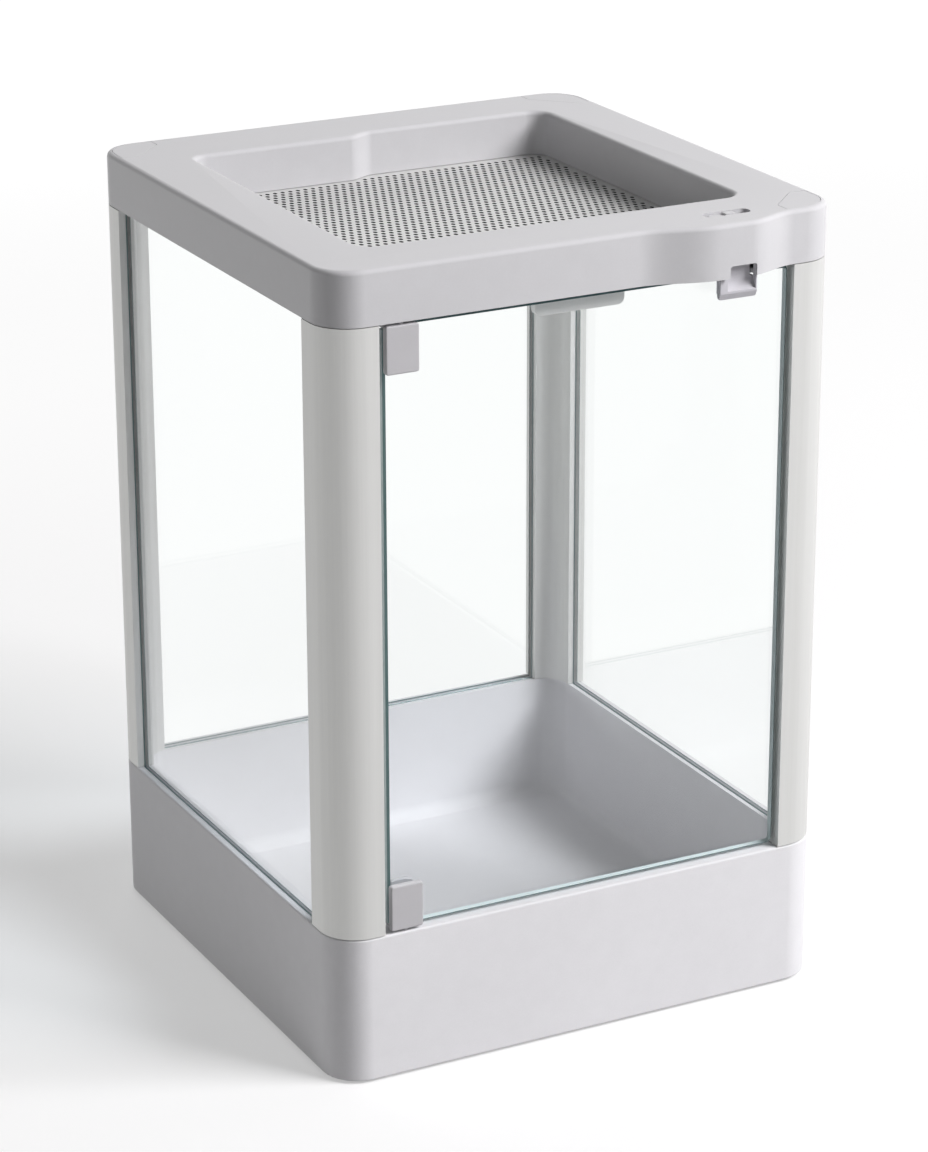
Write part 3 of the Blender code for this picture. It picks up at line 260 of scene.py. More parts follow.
def makeGlass(name, across, look):
    material, tree, shader = newMaterial(name)
    tint = useGroup(
        tree, paneEdge, Face=(*look["face"], 1), Arris=(*look["arris"], 1), Edge=(*look["edge"], 1),
        Across=across, EdgeRoughness=look["edgeRoughness"],
    )
    linkValue(tree, shader.inputs["Base Color"], tint.outputs["Colour"])
    linkValue(tree, shader.inputs["Roughness"], tint.outputs["Roughness"])
    bump = addNode(tree, "ShaderNodeBump", {"Strength": 0.2, "Distance": 0.00005, "Height": tint.outputs["Height"]})
    linkValue(tree, shader.inputs["Normal"], bump.outputs[0])
    shader.inputs["IOR"].default_value = look["ior"]
    shader.inputs["Transmission Weight"].default_value = 1.0
    # light passes straight through, so that what stands behind a pane is lit; the edges keep most of it back
    facing = ownNormal(tree)
    square = addNode(tree, "ShaderNodeVectorMath", {0: facing, 1: across}, operation="DOT_PRODUCT").outputs["Value"]
    atEdge = mapRange(tree, addMath(tree, "ABSOLUTE", square), *zoneRange["shadow"], 1.0, 0.0)
    dimmed = mixColour(tree, atEdge, (*look["passing"], 1), (*look["edgePassing"], 1))
    passing = addNode(tree, "ShaderNodeBsdfTransparent", {"Color": dimmed})
    path = addNode(tree, "ShaderNodeLightPath")
    share = addMath(tree, "MAXIMUM", path.outputs["Is Shadow Ray"], path.outputs["Is Diffuse Ray"])
    mixed = addNode(tree, "ShaderNodeMixShader", {0: share, 1: shader.outputs[0], 2: passing.outputs[0]})
    output = tree.nodes["Material Output"]
    tree.links.new(mixed.outputs[0], output.inputs["Surface"])
    return material


shellLook = {
    "colour": (0.600, 0.596, 0.612), "roughness": 0.36, "grainScale": 1700.0, "grainDepth": 0.10,
    "dust": 0.10, "specular": 0.45,
}
baseLook = dict(shellLook, colour=(0.800, 0.795, 0.815), roughness=0.66, specular=0.22)
# the handle is a darker copy of the shell plastic: partly the clips' lavender grey, partly painted shade in its scoop
handleShadedLook = dict(shellLook, colour=(0.565, 0.555, 0.590), roughness=0.52)
clipLook = {
    "colour": (0.520, 0.512, 0.530), "roughness": 0.38, "grainScale": 2200.0, "grainDepth": 0.08,
    "dust": 0.05, "specular": 0.45,
}
# painted light: the door stop is a lighter copy of the clip plastic, lifting it out of the shade under the frame
litStopLook = dict(clipLook, colour=(0.86, 0.85, 0.83))
guideLook = dict(clipLook, colour=(0.10, 0.10, 0.105), roughness=0.55)
postLook = {
    "colour": (0.700, 0.700, 0.686), "roughness": 0.44, "streak": 0.06, "bands": 0.12, "depth": 0.10,
    "metallic": 0.35,
}
screwLook = {
    "colour": (0.62, 0.62, 0.61), "roughness": 0.28, "streak": 0.05, "bands": 0.1, "depth": 0.05,
    "metallic": 1.0,
}
# the arris colour is partly the glass's green and partly a painted highlight along the rounded arris
glassLook = {
    "face": (0.985, 0.995, 0.992), "arris": (0.78, 0.93, 0.91), "edge": (0.16, 0.30, 0.31),
    "passing": (0.940, 0.955, 0.965), "edgePassing": (0.22, 0.32, 0.32), "edgeRoughness": 0.22, "ior": 1.48,
}

shellPlastic = makePlastic("shellPlastic", shellLook)
basePlastic = makePlastic("basePlastic", baseLook)
handlePlastic = makePlastic("handlePlastic", handleShadedLook)
clipPlastic = makePlastic("clipPlastic", clipLook)
stopPlastic = makePlastic("stopPlastic", litStopLook)
guidePlastic = makePlastic("guidePlastic", guideLook)
postMetal = makeMetal("postMetal", postLook)
screwSteel = makeMetal("screwSteel", screwLook)
sideGlass = makeGlass("sideGlass", (1, 0, 0), glassLook)
frontGlass = makeGlass("frontGlass", (0, 1, 0), glassLook)

# the sheet is pale coated steel, a little uneven
sheetLook = {
    "colour": (0.69, 0.69, 0.68), "roughness": 0.42, "metallic": 0.25, "grainScale": 2600.0, "grainDepth": 0.15,
}
sheetCoat, tree, shader = newMaterial("sheetCoat")
grain = useGroup(
    tree, mouldGrain, Colour=(*sheetLook["colour"], 1), Roughness=sheetLook["roughness"],
    GrainScale=sheetLook["grainScale"], GrainDepth=sheetLook["grainDepth"],
)
for label in ("Roughness", "Normal"):
    linkValue(tree, shader.inputs[label], grain.outputs[label])
linkValue(tree, shader.inputs["Base Color"], grain.outputs["Colour"])
shader.inputs["Metallic"].default_value = sheetLook["metallic"]

# the punched walls of the holes are bare and dull; their near-black colour is painted shade, the shade inside the
# holes
holeShadeLook = {
    "colour": (0.045, 0.044, 0.042), "roughness": 0.6, "grainScale": 2600.0, "grainDepth": 0.2,
    "dust": 0.0, "specular": 0.3,
}
holeWall = makePlastic("holeWall", holeShadeLook)

# glazing bead: a thin dark teal line where a fixed pane enters its groove
beadLook = {
    "colour": (0.150, 0.240, 0.245), "roughness": 0.25, "grainScale": 1200.0, "grainDepth": 0.05,
    "dust": 0.0, "specular": 0.5,
}
beadRubber = makePlastic("beadRubber", beadLook)

# the door's own edges: pale ground glass, and a dark polished arris in front
groundLook = {
    "colour": (0.600, 0.690, 0.695), "roughness": 0.45, "grainScale": 1500.0, "grainDepth": 0.30,
    "dust": 0.0, "specular": 0.4,
}
arrisLook = dict(groundLook, colour=(0.150, 0.250, 0.255), roughness=0.22, grainDepth=0.10)
groundEdge = makePlastic("groundEdge", groundLook)
arrisEdge = makePlastic("arrisEdge", arrisLook)

rubberLook = {
    "colour": (0.035, 0.035, 0.036), "roughness": 0.72, "grainScale": 900.0, "grainDepth": 0.35,
    "dust": 0.25, "specular": 0.3,
}
footRubber = makePlastic("footRubber", rubberLook)

finishes = {
    "base_tray": basePlastic, "top_frame": shellPlastic, "frame_liner": shellPlastic,
    "door_handle": handlePlastic, "lock_slider": shellPlastic, "lock_guide": guidePlastic,
    "hinge_clip_upper": clipPlastic, "hinge_clip_lower": clipPlastic, "door_stop": stopPlastic,
    "corner_cap_front_right": shellPlastic, "corner_cap_back_left": shellPlastic,
    "corner_cap_back_right": shellPlastic,
    "post_front_left": postMetal, "post_front_right": postMetal,
    "post_back_left": postMetal, "post_back_right": postMetal,
    "glass_left": sideGlass, "glass_right": sideGlass, "glass_back": frontGlass, "door_glass": frontGlass,
    "mesh_panel": sheetCoat,
}
finishes.update({name: screwSteel for name in nodes if "_screw_" in name})
finishes.update({name: footRubber for name in nodes if name.startswith("foot_")})
for name, material in finishes.items():
    for materialSlot in nodes[name].material_slots:
        materialSlot.material = material
print("materials set on", len(finishes), "solids")


def newTree(name, inputs):
    tree = bpy.data.node_groups.new(name, "GeometryNodeTree")
    tree.interface.new_socket("Geometry", in_out="INPUT", socket_type="NodeSocketGeometry")
    tree.interface.new_socket("Geometry", in_out="OUTPUT", socket_type="NodeSocketGeometry")
    for label, kind in inputs:
        tree.interface.new_socket(label, in_out="INPUT", socket_type=kind)
    return tree, tree.nodes.new("NodeGroupInput"), tree.nodes.new("NodeGroupOutput")


def runTree(obj, tree, values):
    # inputs are set by identifier before the object is first evaluated
    modifier = obj.modifiers.new(tree.name, "NODES")
    modifier.node_group = tree
    identifiers = {item.name: item.identifier for item in tree.interface.items_tree if item.in_out == "INPUT"}
    for label, value in values.items():
        modifier[identifiers[label]] = value
    bpy.context.view_layer.update()
    mesh = bpy.data.meshes.new_from_object(obj.evaluated_get(bpy.context.evaluated_depsgraph_get()))
    obj.modifiers.remove(modifier)
    plain = bpy.data.objects.new(obj.name, mesh)
    bpy.data.objects.remove(obj, do_unlink=True)
    plain.name = mesh.name = tree.name
    bpy.context.scene.collection.objects.link(plain)
    return plain


# CAD nodes keep their meshes: their rounded edges are shaded smooth by live modifiers
smoothing = {"MergeDistance": 0.000001, "SharpAngle": math.radians(32)}
tree, treeIn, treeOut = newTree("smoothShade", [(name, "NodeSocketFloat") for name in smoothing])
soft = addNode(tree, "GeometryNodeMergeByDistance", {
    "Geometry": treeIn.outputs["Geometry"], "Distance": treeIn.outputs["MergeDistance"],
}).outputs[0]
soft = addNode(tree, "GeometryNodeSetShadeSmooth", {"Geometry": soft, "Shade Smooth": True}, domain="FACE").outputs[0]
turn = addNode(tree, "GeometryNodeInputMeshEdgeAngle").outputs["Unsigned Angle"]
isSharp = addNode(tree, "FunctionNodeCompare", {
    "A": turn, "B": treeIn.outputs["SharpAngle"],
}, data_type="FLOAT", operation="GREATER_THAN").outputs[0]
soft = addNode(tree, "GeometryNodeSetShadeSmooth", {
    "Geometry": soft, "Selection": isSharp, "Shade Smooth": False,
}, domain="EDGE").outputs[0]
tree.links.new(soft, treeOut.inputs[0])
capEdge = {"width": 0.0003, "segments": 2, "angle": math.radians(60)}
for name, node in nodes.items():
    modifier = node.modifiers.new("smoothShade", "NODES")
    modifier.node_group = tree
    for item in tree.interface.items_tree:
        if item.in_out == "INPUT" and item.name in smoothing:
            modifier[item.identifier] = smoothing[item.name]
    if name.startswith("corner_cap_"):  # a softened edge opens the joint round each cap
        softened = node.modifiers.new("softenedEdge", "BEVEL")
        softened.width, softened.segments = capEdge["width"], capEdge["segments"]
        softened.limit_method, softened.angle_limit = "ANGLE", capEdge["angle"]
    weighted = node.modifiers.new("weightedNormals", "WEIGHTED_NORMAL")
    weighted.mode = "FACE_AREA_WITH_ANGLE"
    weighted.keep_sharp = True
print("rounded edges of", len(nodes), "solids shaded smooth")


def newObject(name, verts, edges=(), faces=()):
    mesh = bpy.data.meshes.new(name)
    mesh.from_pydata(verts, edges, faces)
    obj = bpy.data.objects.new(name, mesh)
    bpy.context.scene.collection.objects.link(obj)
    return obj


def smoothByAngle(obj, degrees):
    obj.data.shade_smooth()
    obj.data.set_sharp_from_angle(angle=math.radians(degrees))


# staggered oblong holes inside the recess, with a plain border
sheet = {
    "pitchX": 0.00312, "pitchY": 0.00319, "holeRadius": 0.00083, "holeStretch": 1.42, "margin": 0.0034,
    "rowShift": 0.56, "cornerRadius": 0.0046, "holeSides": 8, "centreShift": 0.0012,
    "stepBack": 0.0044, "stepRange": (-0.009, 0.002),  # the right part of the back edge stands behind the left
}
low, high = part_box("mesh_panel")


def cornerArc(x, y, radius, start):
    steps = 6
    return [
        (x + radius * math.cos(math.radians(start + 90 * i / steps)),
         y + radius * math.sin(math.radians(start + 90 * i / steps)), 0.0)
        for i in range(steps + 1)
    ]


def sheetOutline():
    x0, y0, x1, y1 = low.x, low.y, high.x, high.y
    r = sheet["cornerRadius"]
    stepStart, stepEnd = sheet["stepRange"]
    points = cornerArc(x0 + r, y0 + r, r, 180) + cornerArc(x1 - r, y0 + r, r, 270)
    points += cornerArc(x1 - r, y1 - r, r, 0)
    for i in range(9):
        share = i / 8
        drop = sheet["stepBack"] * share * share * (3 - 2 * share)
        points.append((stepEnd + (stepStart - stepEnd) * share, y1 - drop, 0.0))
    return points + cornerArc(x0 + r, y1 - sheet["stepBack"] - r, r, 90)


tree, treeIn, treeOut = newTree("perforatedSheet", [
    ("PitchX", "NodeSocketFloat"), ("PitchY", "NodeSocketFloat"), ("HoleRadius", "NodeSocketFloat"),
    ("Margin", "NodeSocketFloat"), ("SizeX", "NodeSocketFloat"), ("SizeY", "NodeSocketFloat"),
    ("CountX", "NodeSocketInt"), ("CountY", "NodeSocketInt"), ("Centre", "NodeSocketVector"),
    ("HoleShape", "NodeSocketVector"), ("RowShift", "NodeSocketFloat"), ("Thickness", "NodeSocketVector"),
    ("HoleSides", "NodeSocketInt"), ("Material", "NodeSocketMaterial"),
    ("HoleMaterial", "NodeSocketMaterial"),
])
dots = addNode(tree, "GeometryNodeMeshGrid", {
    "Size X": treeIn.outputs["SizeX"], "Size Y": treeIn.outputs["SizeY"],
    "Vertices X": treeIn.outputs["CountX"], "Vertices Y": treeIn.outputs["CountY"],
}).outputs["Mesh"]
dots = addNode(tree, "GeometryNodeTransform", {"Geometry": dots, "Translation": treeIn.outputs["Centre"]}).outputs[0]
index = addNode(tree, "GeometryNodeInputIndex").outputs[0]
row = addMath(tree, "MODULO", index, treeIn.outputs["CountY"])
slide = addMath(tree, "FRACT", addMath(tree, "MULTIPLY", row, treeIn.outputs["RowShift"]))
shift = addMath(tree, "MULTIPLY", addMath(tree, "SUBTRACT", 0.5, slide), treeIn.outputs["PitchX"])
offset = addNode(tree, "ShaderNodeCombineXYZ", {"X": shift}).outputs[0]
dots = addNode(tree, "GeometryNodeSetPosition", {"Geometry": dots, "Offset": offset}).outputs[0]
border = treeIn.outputs["Geometry"]
near = addNode(tree, "GeometryNodeProximity", {"Geometry": border}, target_element="EDGES")
tooNear = addNode(tree, "FunctionNodeCompare", {
    "A": near.outputs["Distance"], "B": treeIn.outputs["Margin"],
}, data_type="FLOAT", operation="LESS_THAN").outputs[0]
dots = addNode(tree, "GeometryNodeDeleteGeometry", {"Geometry": dots, "Selection": tooNear}).outputs[0]
hole = addNode(tree, "GeometryNodeCurvePrimitiveCircle", {
    "Resolution": treeIn.outputs["HoleSides"], "Radius": treeIn.outputs["HoleRadius"],
}).outputs[0]
hole = addNode(tree, "GeometryNodeTransform", {
    "Geometry": hole, "Rotation": (0, 0, math.pi / sheet["holeSides"]),
}).outputs[0]
hole = addNode(tree, "GeometryNodeTransform", {"Geometry": hole, "Scale": treeIn.outputs["HoleShape"]}).outputs[0]
holes = addNode(tree, "GeometryNodeInstanceOnPoints", {"Points": dots, "Instance": hole}).outputs[0]
holes = addNode(tree, "GeometryNodeRealizeInstances", {"Geometry": holes}).outputs[0]
rim = addNode(tree, "GeometryNodeMeshToCurve", {"Mesh": border}).outputs[0]
loops = addNode(tree, "GeometryNodeJoinGeometry")
tree.links.new(rim, loops.inputs[0])
tree.links.new(holes, loops.inputs[0])
filled = addNode(tree, "GeometryNodeFillCurve", {"Curve": loops.outputs[0]}, mode="TRIANGLES").outputs[0]
filled = addNode(tree, "GeometryNodeSetMaterial", {
    "Geometry": filled, "Material": treeIn.outputs["Material"],
}).outputs[0]
raised = addNode(tree, "GeometryNodeExtrudeMesh", {
    "Mesh": filled, "Offset": treeIn.outputs["Thickness"], "Offset Scale": 1.0, "Individual": False,
})
# the sides of the extrusion, the hole walls, take the painted-shade material
raised = addNode(tree, "GeometryNodeSetMaterial", {
    "Geometry": raised.outputs[0], "Selection": raised.outputs["Side"], "Material": treeIn.outputs["HoleMaterial"],
}).outputs[0]
underside = addNode(tree, "GeometryNodeFlipFaces", {"Mesh": filled}).outputs[0]
both = addNode(tree, "GeometryNodeJoinGeometry")
tree.links.new(raised, both.inputs[0])
tree.links.new(underside, both.inputs[0])
whole = addNode(tree, "GeometryNodeMergeByDistance", {"Geometry": both.outputs[0], "Distance": 0.000002}).outputs[0]
whole = addNode(tree, "GeometryNodeRealizeInstances", {"Geometry": whole}).outputs[0]
tree.links.new(whole, treeOut.inputs[0])

outline = sheetOutline()
count = len(outline)
columns = int((high.x - low.x) / sheet["pitchX"])
rows = int((high.y - low.y - 2 * sheet["margin"]) / sheet["pitchY"]) + 1
blank = newObject("sheetBlank", outline, [(i, (i + 1) % count) for i in range(count)])
perforatedSheet = runTree(blank, tree, {
    "PitchX": sheet["pitchX"], "PitchY": sheet["pitchY"], "HoleRadius": sheet["holeRadius"],
    "Margin": sheet["margin"] + sheet["holeRadius"], "SizeX": sheet["pitchX"] * (columns - 1),
    "SizeY": sheet["pitchY"] * (rows - 1), "CountX": columns, "CountY": rows,
    "Centre": (
        (low.x + high.x) / 2,
        low.y + sheet["margin"] + sheet["pitchY"] * (rows - 1) / 2 + sheet["centreShift"], 0.0),
    "HoleShape": (1.0, sheet["holeStretch"], 1.0), "RowShift": sheet["rowShift"],
    "Thickness": (0.0, 0.0, high.z - low.z), "HoleSides": sheet["holeSides"], "Material": sheetCoat,
    "HoleMaterial": holeWall,
})
perforatedSheet.data.transform(Matrix.Translation((0, 0, low.z)))
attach(perforatedSheet, "case")
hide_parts("mesh_panel")
print("perforated sheet:", len(perforatedSheet.data.polygons), "faces")

# one piece set down at many points, each turned a little differently about its own axis
tree, treeIn, treeOut = newTree("setOnPoints", [
    ("Piece", "NodeSocketObject"), ("Tilt", "NodeSocketVector"), ("TurnRange", "NodeSocketFloat"),
    ("Seed", "NodeSocketInt"), ("Material", "NodeSocketMaterial"),
])
piece = addNode(tree, "GeometryNodeObjectInfo", {"Object": treeIn.outputs["Piece"]}).outputs["Geometry"]
turn = addNode(tree, "FunctionNodeRandomValue", data_type="FLOAT")
linkValue(tree, next(s for s in turn.inputs if s.name == "Max" and s.enabled), treeIn.outputs["TurnRange"])
linkValue(tree, turn.inputs["Seed"], treeIn.outputs["Seed"])
value = next(s for s in turn.outputs if s.enabled)
spun = addNode(tree, "ShaderNodeCombineXYZ", {"Z": value}).outputs[0]
spun = addNode(tree, "ShaderNodeVectorMath", {0: spun, 1: treeIn.outputs["Tilt"]}, operation="ADD").outputs[0]
placed = addNode(tree, "GeometryNodeInstanceOnPoints", {
    "Points": treeIn.outputs["Geometry"], "Instance": piece, "Rotation": spun,
}).outputs[0]
placed = addNode(tree, "GeometryNodeRealizeInstances", {"Geometry": placed}).outputs[0]
placed = addNode(tree, "GeometryNodeSetMaterial", {
    "Geometry": placed, "Material": treeIn.outputs["Material"],
}).outputs[0]
tree.links.new(placed, treeOut.inputs[0])
setOnPoints = tree


def setDown(name, piece, points, material, seed, turnRange=0.0, tilt=(0.0, 0.0, 0.0), sharp=40):
    made = runTree(newObject(name, points), setOnPoints, {
        "Piece": piece, "Tilt": tilt, "TurnRange": turnRange, "Seed": seed, "Material": material,
    })
    made.name = made.data.name = name
    smoothByAngle(made, sharp)
    return made


def lathe(name, profile, steps):
    # profile: radius and height pairs, turned about Z and closed at the axis
    shape = bmesh.new()
    verts = [shape.verts.new((radius, 0.0, height)) for radius, height in profile]
    edges = [shape.edges.new(pair) for pair in zip(verts, verts[1:])]
    bmesh.ops.spin(
        shape, geom=verts + edges, cent=(0, 0, 0), axis=(0, 0, 1), angle=2 * math.pi, steps=steps,
        use_duplicate=False,
    )
    bmesh.ops.remove_doubles(shape, verts=shape.verts, dist=0.000002)
    bmesh.ops.recalc_face_normals(shape, faces=shape.faces)
    mesh = bpy.data.meshes.new(name)
    shape.to_mesh(mesh)
    shape.free()
    return bpy.data.objects.new(name, mesh)


# glazing beads: a low ridge round the opening of each fixed pane, on both of its faces
bead = {"width": 0.00045, "proud": 0.00025, "clearance": 0.00002}


def beadRing(shape, place, across, opening, proud):
    # opening: low and high corners of the visible pane, as (along, height) pairs
    (a0, z0), (a1, z1) = opening
    width = bead["width"]
    rings = []
    section = ((0.0, 0.0), (0.0, proud * 0.6), (width * 0.4, proud), (width, proud * 0.1), (width, 0.0))
    for inset, rise in section:
        corners = [
            (a0 + inset, z0 + inset), (a1 - inset, z0 + inset), (a1 - inset, z1 - inset), (a0 + inset, z1 - inset),
        ]
        ring = []
        for along, height in corners:
            point = (place + rise, along, height) if across == "x" else (along, place + rise, height)
            ring.append(shape.verts.new(point))
        rings.append(ring)
    for i, ring in enumerate(rings):
        following = rings[(i + 1) % len(rings)]
        for j in range(4):
            k = (j + 1) % 4
            shape.faces.new((ring[j], ring[k], following[k], following[j]))


shape = bmesh.new()
skin = bead["clearance"]
for name in ("glass_left", "glass_right", "glass_back"):
    low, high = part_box(name)
    foot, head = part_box("base_tray")[1].z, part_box("top_frame")[0].z
    if name == "glass_back":
        rim = (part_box("post_back_left")[1].x, foot), (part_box("post_back_right")[0].x, head)
        beadRing(shape, low.y - skin, "y", rim, -bead["proud"])
        beadRing(shape, high.y + skin, "y", rim, bead["proud"])
    else:
        side = name.split("_")[1]
        rim = (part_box(f"post_front_{side}")[1].y, foot), (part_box(f"post_back_{side}")[0].y, head)
        beadRing(shape, low.x - skin, "x", rim, -bead["proud"])
        beadRing(shape, high.x + skin, "x", rim, bead["proud"])
bmesh.ops.recalc_face_normals(shape, faces=shape.faces)
mesh = bpy.data.meshes.new("glazingBeads")
shape.to_mesh(mesh)
shape.free()
glazingBeads = bpy.data.objects.new("glazingBeads", mesh)
bpy.context.scene.collection.objects.link(glazingBeads)
glazingBeads.data.materials.append(beadRubber)
smoothByAngle(glazingBeads, 50)
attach(glazingBeads, "case")
print("glazing beads:", len(glazingBeads.data.polygons), "faces")

# the door's pane, with arrises wide enough to draw a line round both faces
pane = {
    "arris": 0.0008, "notchX": -0.06685, "notchTop": 0.2775, "notchBottom": 0.0594, "cornerRadius": 0.0020,
    "cornerSteps": 6,
}
low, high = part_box("door_glass")


def paneOutline():
    outline = [
        (pane["notchX"], low.z), (pane["notchX"], pane["notchBottom"]), (low.x, pane["notchBottom"]),
        (low.x, pane["notchTop"]), (pane["notchX"], pane["notchTop"]), (pane["notchX"], high.z),
    ]
    radius = pane["cornerRadius"]
    for z, start, turn in ((high.z - radius, 90, -90), (low.z + radius, 0, -90)):
        for i in range(pane["cornerSteps"] + 1):
            angle = math.radians(start + turn * i / pane["cornerSteps"])
            outline.append((high.x - radius + radius * math.cos(angle), z + radius * math.sin(angle)))
    return outline


def drawnIn(outline, distance):
    # each corner moves along its mitre, so that every side moves in by the same distance
    moved = []
    for i, (x, z) in enumerate(outline):
        before, after = outline[i - 1], outline[(i + 1) % len(outline)]
        first = Vector((x - before[0], z - before[1])).normalized()
        second = Vector((after[0] - x, after[1] - z)).normalized()
        normals = [Vector((side.y, -side.x)) for side in (first, second)]  # the outline runs clockwise
        mitre = (normals[0] + normals[1]) / (1 + normals[0].dot(normals[1]))
        moved.append((x + mitre.x * distance, z + mitre.y * distance))
    return moved


outline = paneOutline()
inner = drawnIn(outline, pane["arris"])
rings = [
    [(x, low.y, z) for x, z in inner], [(x, low.y + pane["arris"], z) for x, z in outline],
    [(x, high.y - pane["arris"], z) for x, z in outline], [(x, high.y, z) for x, z in inner],
]
count = len(outline)
verts = [point for ring in rings for point in ring]
faces = [tuple(range(count)), tuple(reversed(range(3 * count, 4 * count)))]
for ring in range(3):
    start, following = ring * count, (ring + 1) * count
    faces += [
        (start + i, start + (i + 1) % count, following + (i + 1) % count, following + i) for i in range(count)
    ]
doorPane = newObject("doorPane", verts, [], faces)
for ring, finish in enumerate((1, 2, 2)):  # dark front arris, ground edge, ground back arris
    for polygon in doorPane.data.polygons[2 + ring * count:2 + (ring + 1) * count]:
        polygon.material_index = finish
shape = bmesh.new()
shape.from_mesh(doorPane.data)
bmesh.ops.recalc_face_normals(shape, faces=shape.faces)
shape.to_mesh(doorPane.data)
shape.free()
for material in (frontGlass, arrisEdge, groundEdge):
    doorPane.data.materials.append(material)
smoothByAngle(doorPane, 25)
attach(doorPane, "door")
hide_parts("door_glass")
print("door pane:", len(doorPane.data.polygons), "faces")

# rubber feet with grip rings pressed into the sole and a moulding mark in the middle
foot = {
    "edge": 0.0007, "ringDepth": 0.00035, "rings": (0.0066, 0.0050, 0.0034), "ringWidth": 0.0008,
    "dimple": 0.0014, "topEdge": 0.0003, "steps": 48,
}
low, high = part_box("foot_front_left")
footRadius = (high.x - low.x) / 2
footHeight = high.z - low.z
profile = [
    (0.0, footHeight), (footRadius - foot["topEdge"], footHeight), (footRadius, footHeight - foot["topEdge"]),
]
for i in range(5):
    angle = math.radians(90 * i / 4)
    profile.append((
        footRadius - foot["edge"] + foot["edge"] * math.cos(angle), foot["edge"] - foot["edge"] * math.sin(angle)))
for radius in foot["rings"]:
    half = foot["ringWidth"] / 2
    profile += [
        (radius + half, 0.0), (radius + half / 2, foot["ringDepth"]),
        (radius - half / 2, foot["ringDepth"]), (radius - half, 0.0),
    ]
profile += [(foot["dimple"], 0.0), (foot["dimple"] * 0.8, foot["ringDepth"]), (0.0, foot["ringDepth"])]
pad = lathe("pad", profile, foot["steps"])
feet = [name for name in nodes if name.startswith("foot_")]
centres = []
for name in feet:
    low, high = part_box(name)
    centres.append(((low.x + high.x) / 2, (low.y + high.y) / 2, low.z))
footPads = setDown("footPads", pad, centres, footRubber, 3, turnRange=0.6)
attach(footPads, "case")
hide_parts(*feet)
bpy.data.objects.remove(pad)
print("feet:", len(footPads.data.polygons), "faces")

# thread-forming screws: pan head, cross recess, helical thread
screw = {
    "headHeight": 0.0024, "crown": 0.0007, "headSteps": 32, "crossReach": 0.0015, "crossWidth": 0.0007,
    "crossDepth": 0.0013, "coreRadius": 0.00145, "crestRadius": 0.00200, "pitch": 0.0012, "threadSteps": 16,
    "plainLength": 0.0020, "tipLength": 0.0016,
}


def crossCutter():
    # a cross whose arms narrow towards the bottom of the recess; the head's crown is at -headHeight
    verts, faces = [], []
    for depth, share in ((-screw["headHeight"] - 0.0002, 1.0), (-screw["headHeight"] + screw["crossDepth"], 0.45)):
        arm, half = screw["crossReach"] * share, screw["crossWidth"] / 2 * (0.6 + 0.4 * share)
        corner = [(half, half), (half, arm), (-half, arm), (-half, half), (-arm, half), (-arm, -half),
                  (-half, -half), (-half, -arm), (half, -arm), (half, -half), (arm, -half), (arm, half)]
        verts += [(x, y, depth) for x, y in corner]
    count = len(verts) // 2
    faces = [tuple(range(count)), tuple(reversed(range(count, 2 * count)))]
    faces += [(i + count, (i + 1) % count + count, (i + 1) % count, i) for i in range(count)]
    return newObject("crossCutter", verts, [], faces)


def threadShape(shape, length):
    # a ridge of triangular section wound about the core, fading out at both ends
    start, end = screw["plainLength"], length - screw["tipLength"]
    turns = (end - start) / screw["pitch"]
    total = int(turns * screw["threadSteps"])
    previous = None
    for i in range(total + 1):
        angle = 2 * math.pi * i / screw["threadSteps"]
        height = start + (end - start) * i / total
        fade = min(1.0, i / screw["threadSteps"], (total - i) / screw["threadSteps"])
        root = screw["coreRadius"] - 0.0001
        crest = root + (screw["crestRadius"] - root) * fade
        half = screw["pitch"] * 0.32 * max(fade, 0.1)
        ring = [
            shape.verts.new((radius * math.cos(angle), radius * math.sin(angle), height + rise))
            for radius, rise in ((root, -half), (crest, 0.0), (root, half))
        ]
        if previous:
            for a, b in ((0, 1), (1, 2), (2, 0)):
                shape.faces.new((previous[a], previous[b], ring[b], ring[a]))
        else:
            shape.faces.new(reversed(ring))
        previous = ring
    shape.faces.new(previous)


def makeScrew(length):
    # seat at z 0, head below it, shank above it
    head, radius, core = screw["headHeight"], screw["radius"], screw["coreRadius"]
    profile = [(0.0, -head)]
    for i in range(7):
        angle = math.radians(90 * i / 6)
        profile.append((
            radius * 0.45 + radius * 0.55 * math.sin(angle), -head + screw["crown"] * (1 - math.cos(angle)) * 1.4))
    profile += [
        (radius, -0.0002), (radius - 0.0002, 0.0), (core, 0.0), (core, length - screw["tipLength"]), (0.0, length),
    ]
    body = lathe("screwBody", profile, screw["headSteps"])
    bpy.context.scene.collection.objects.link(body)
    cutter = crossCutter()
    recess = body.modifiers.new("recess", "BOOLEAN")
    recess.operation, recess.solver, recess.object = "DIFFERENCE", "EXACT", cutter
    bpy.context.view_layer.update()
    shape = bmesh.new()
    shape.from_object(body, bpy.context.evaluated_depsgraph_get())
    threadShape(shape, length)
    bmesh.ops.recalc_face_normals(shape, faces=shape.faces)
    mesh = bpy.data.meshes.new("screwShape")
    shape.to_mesh(mesh)
    shape.free()
    for used in (body, cutter):
        bpy.data.objects.remove(used)
    return bpy.data.objects.new("screwShape", mesh)


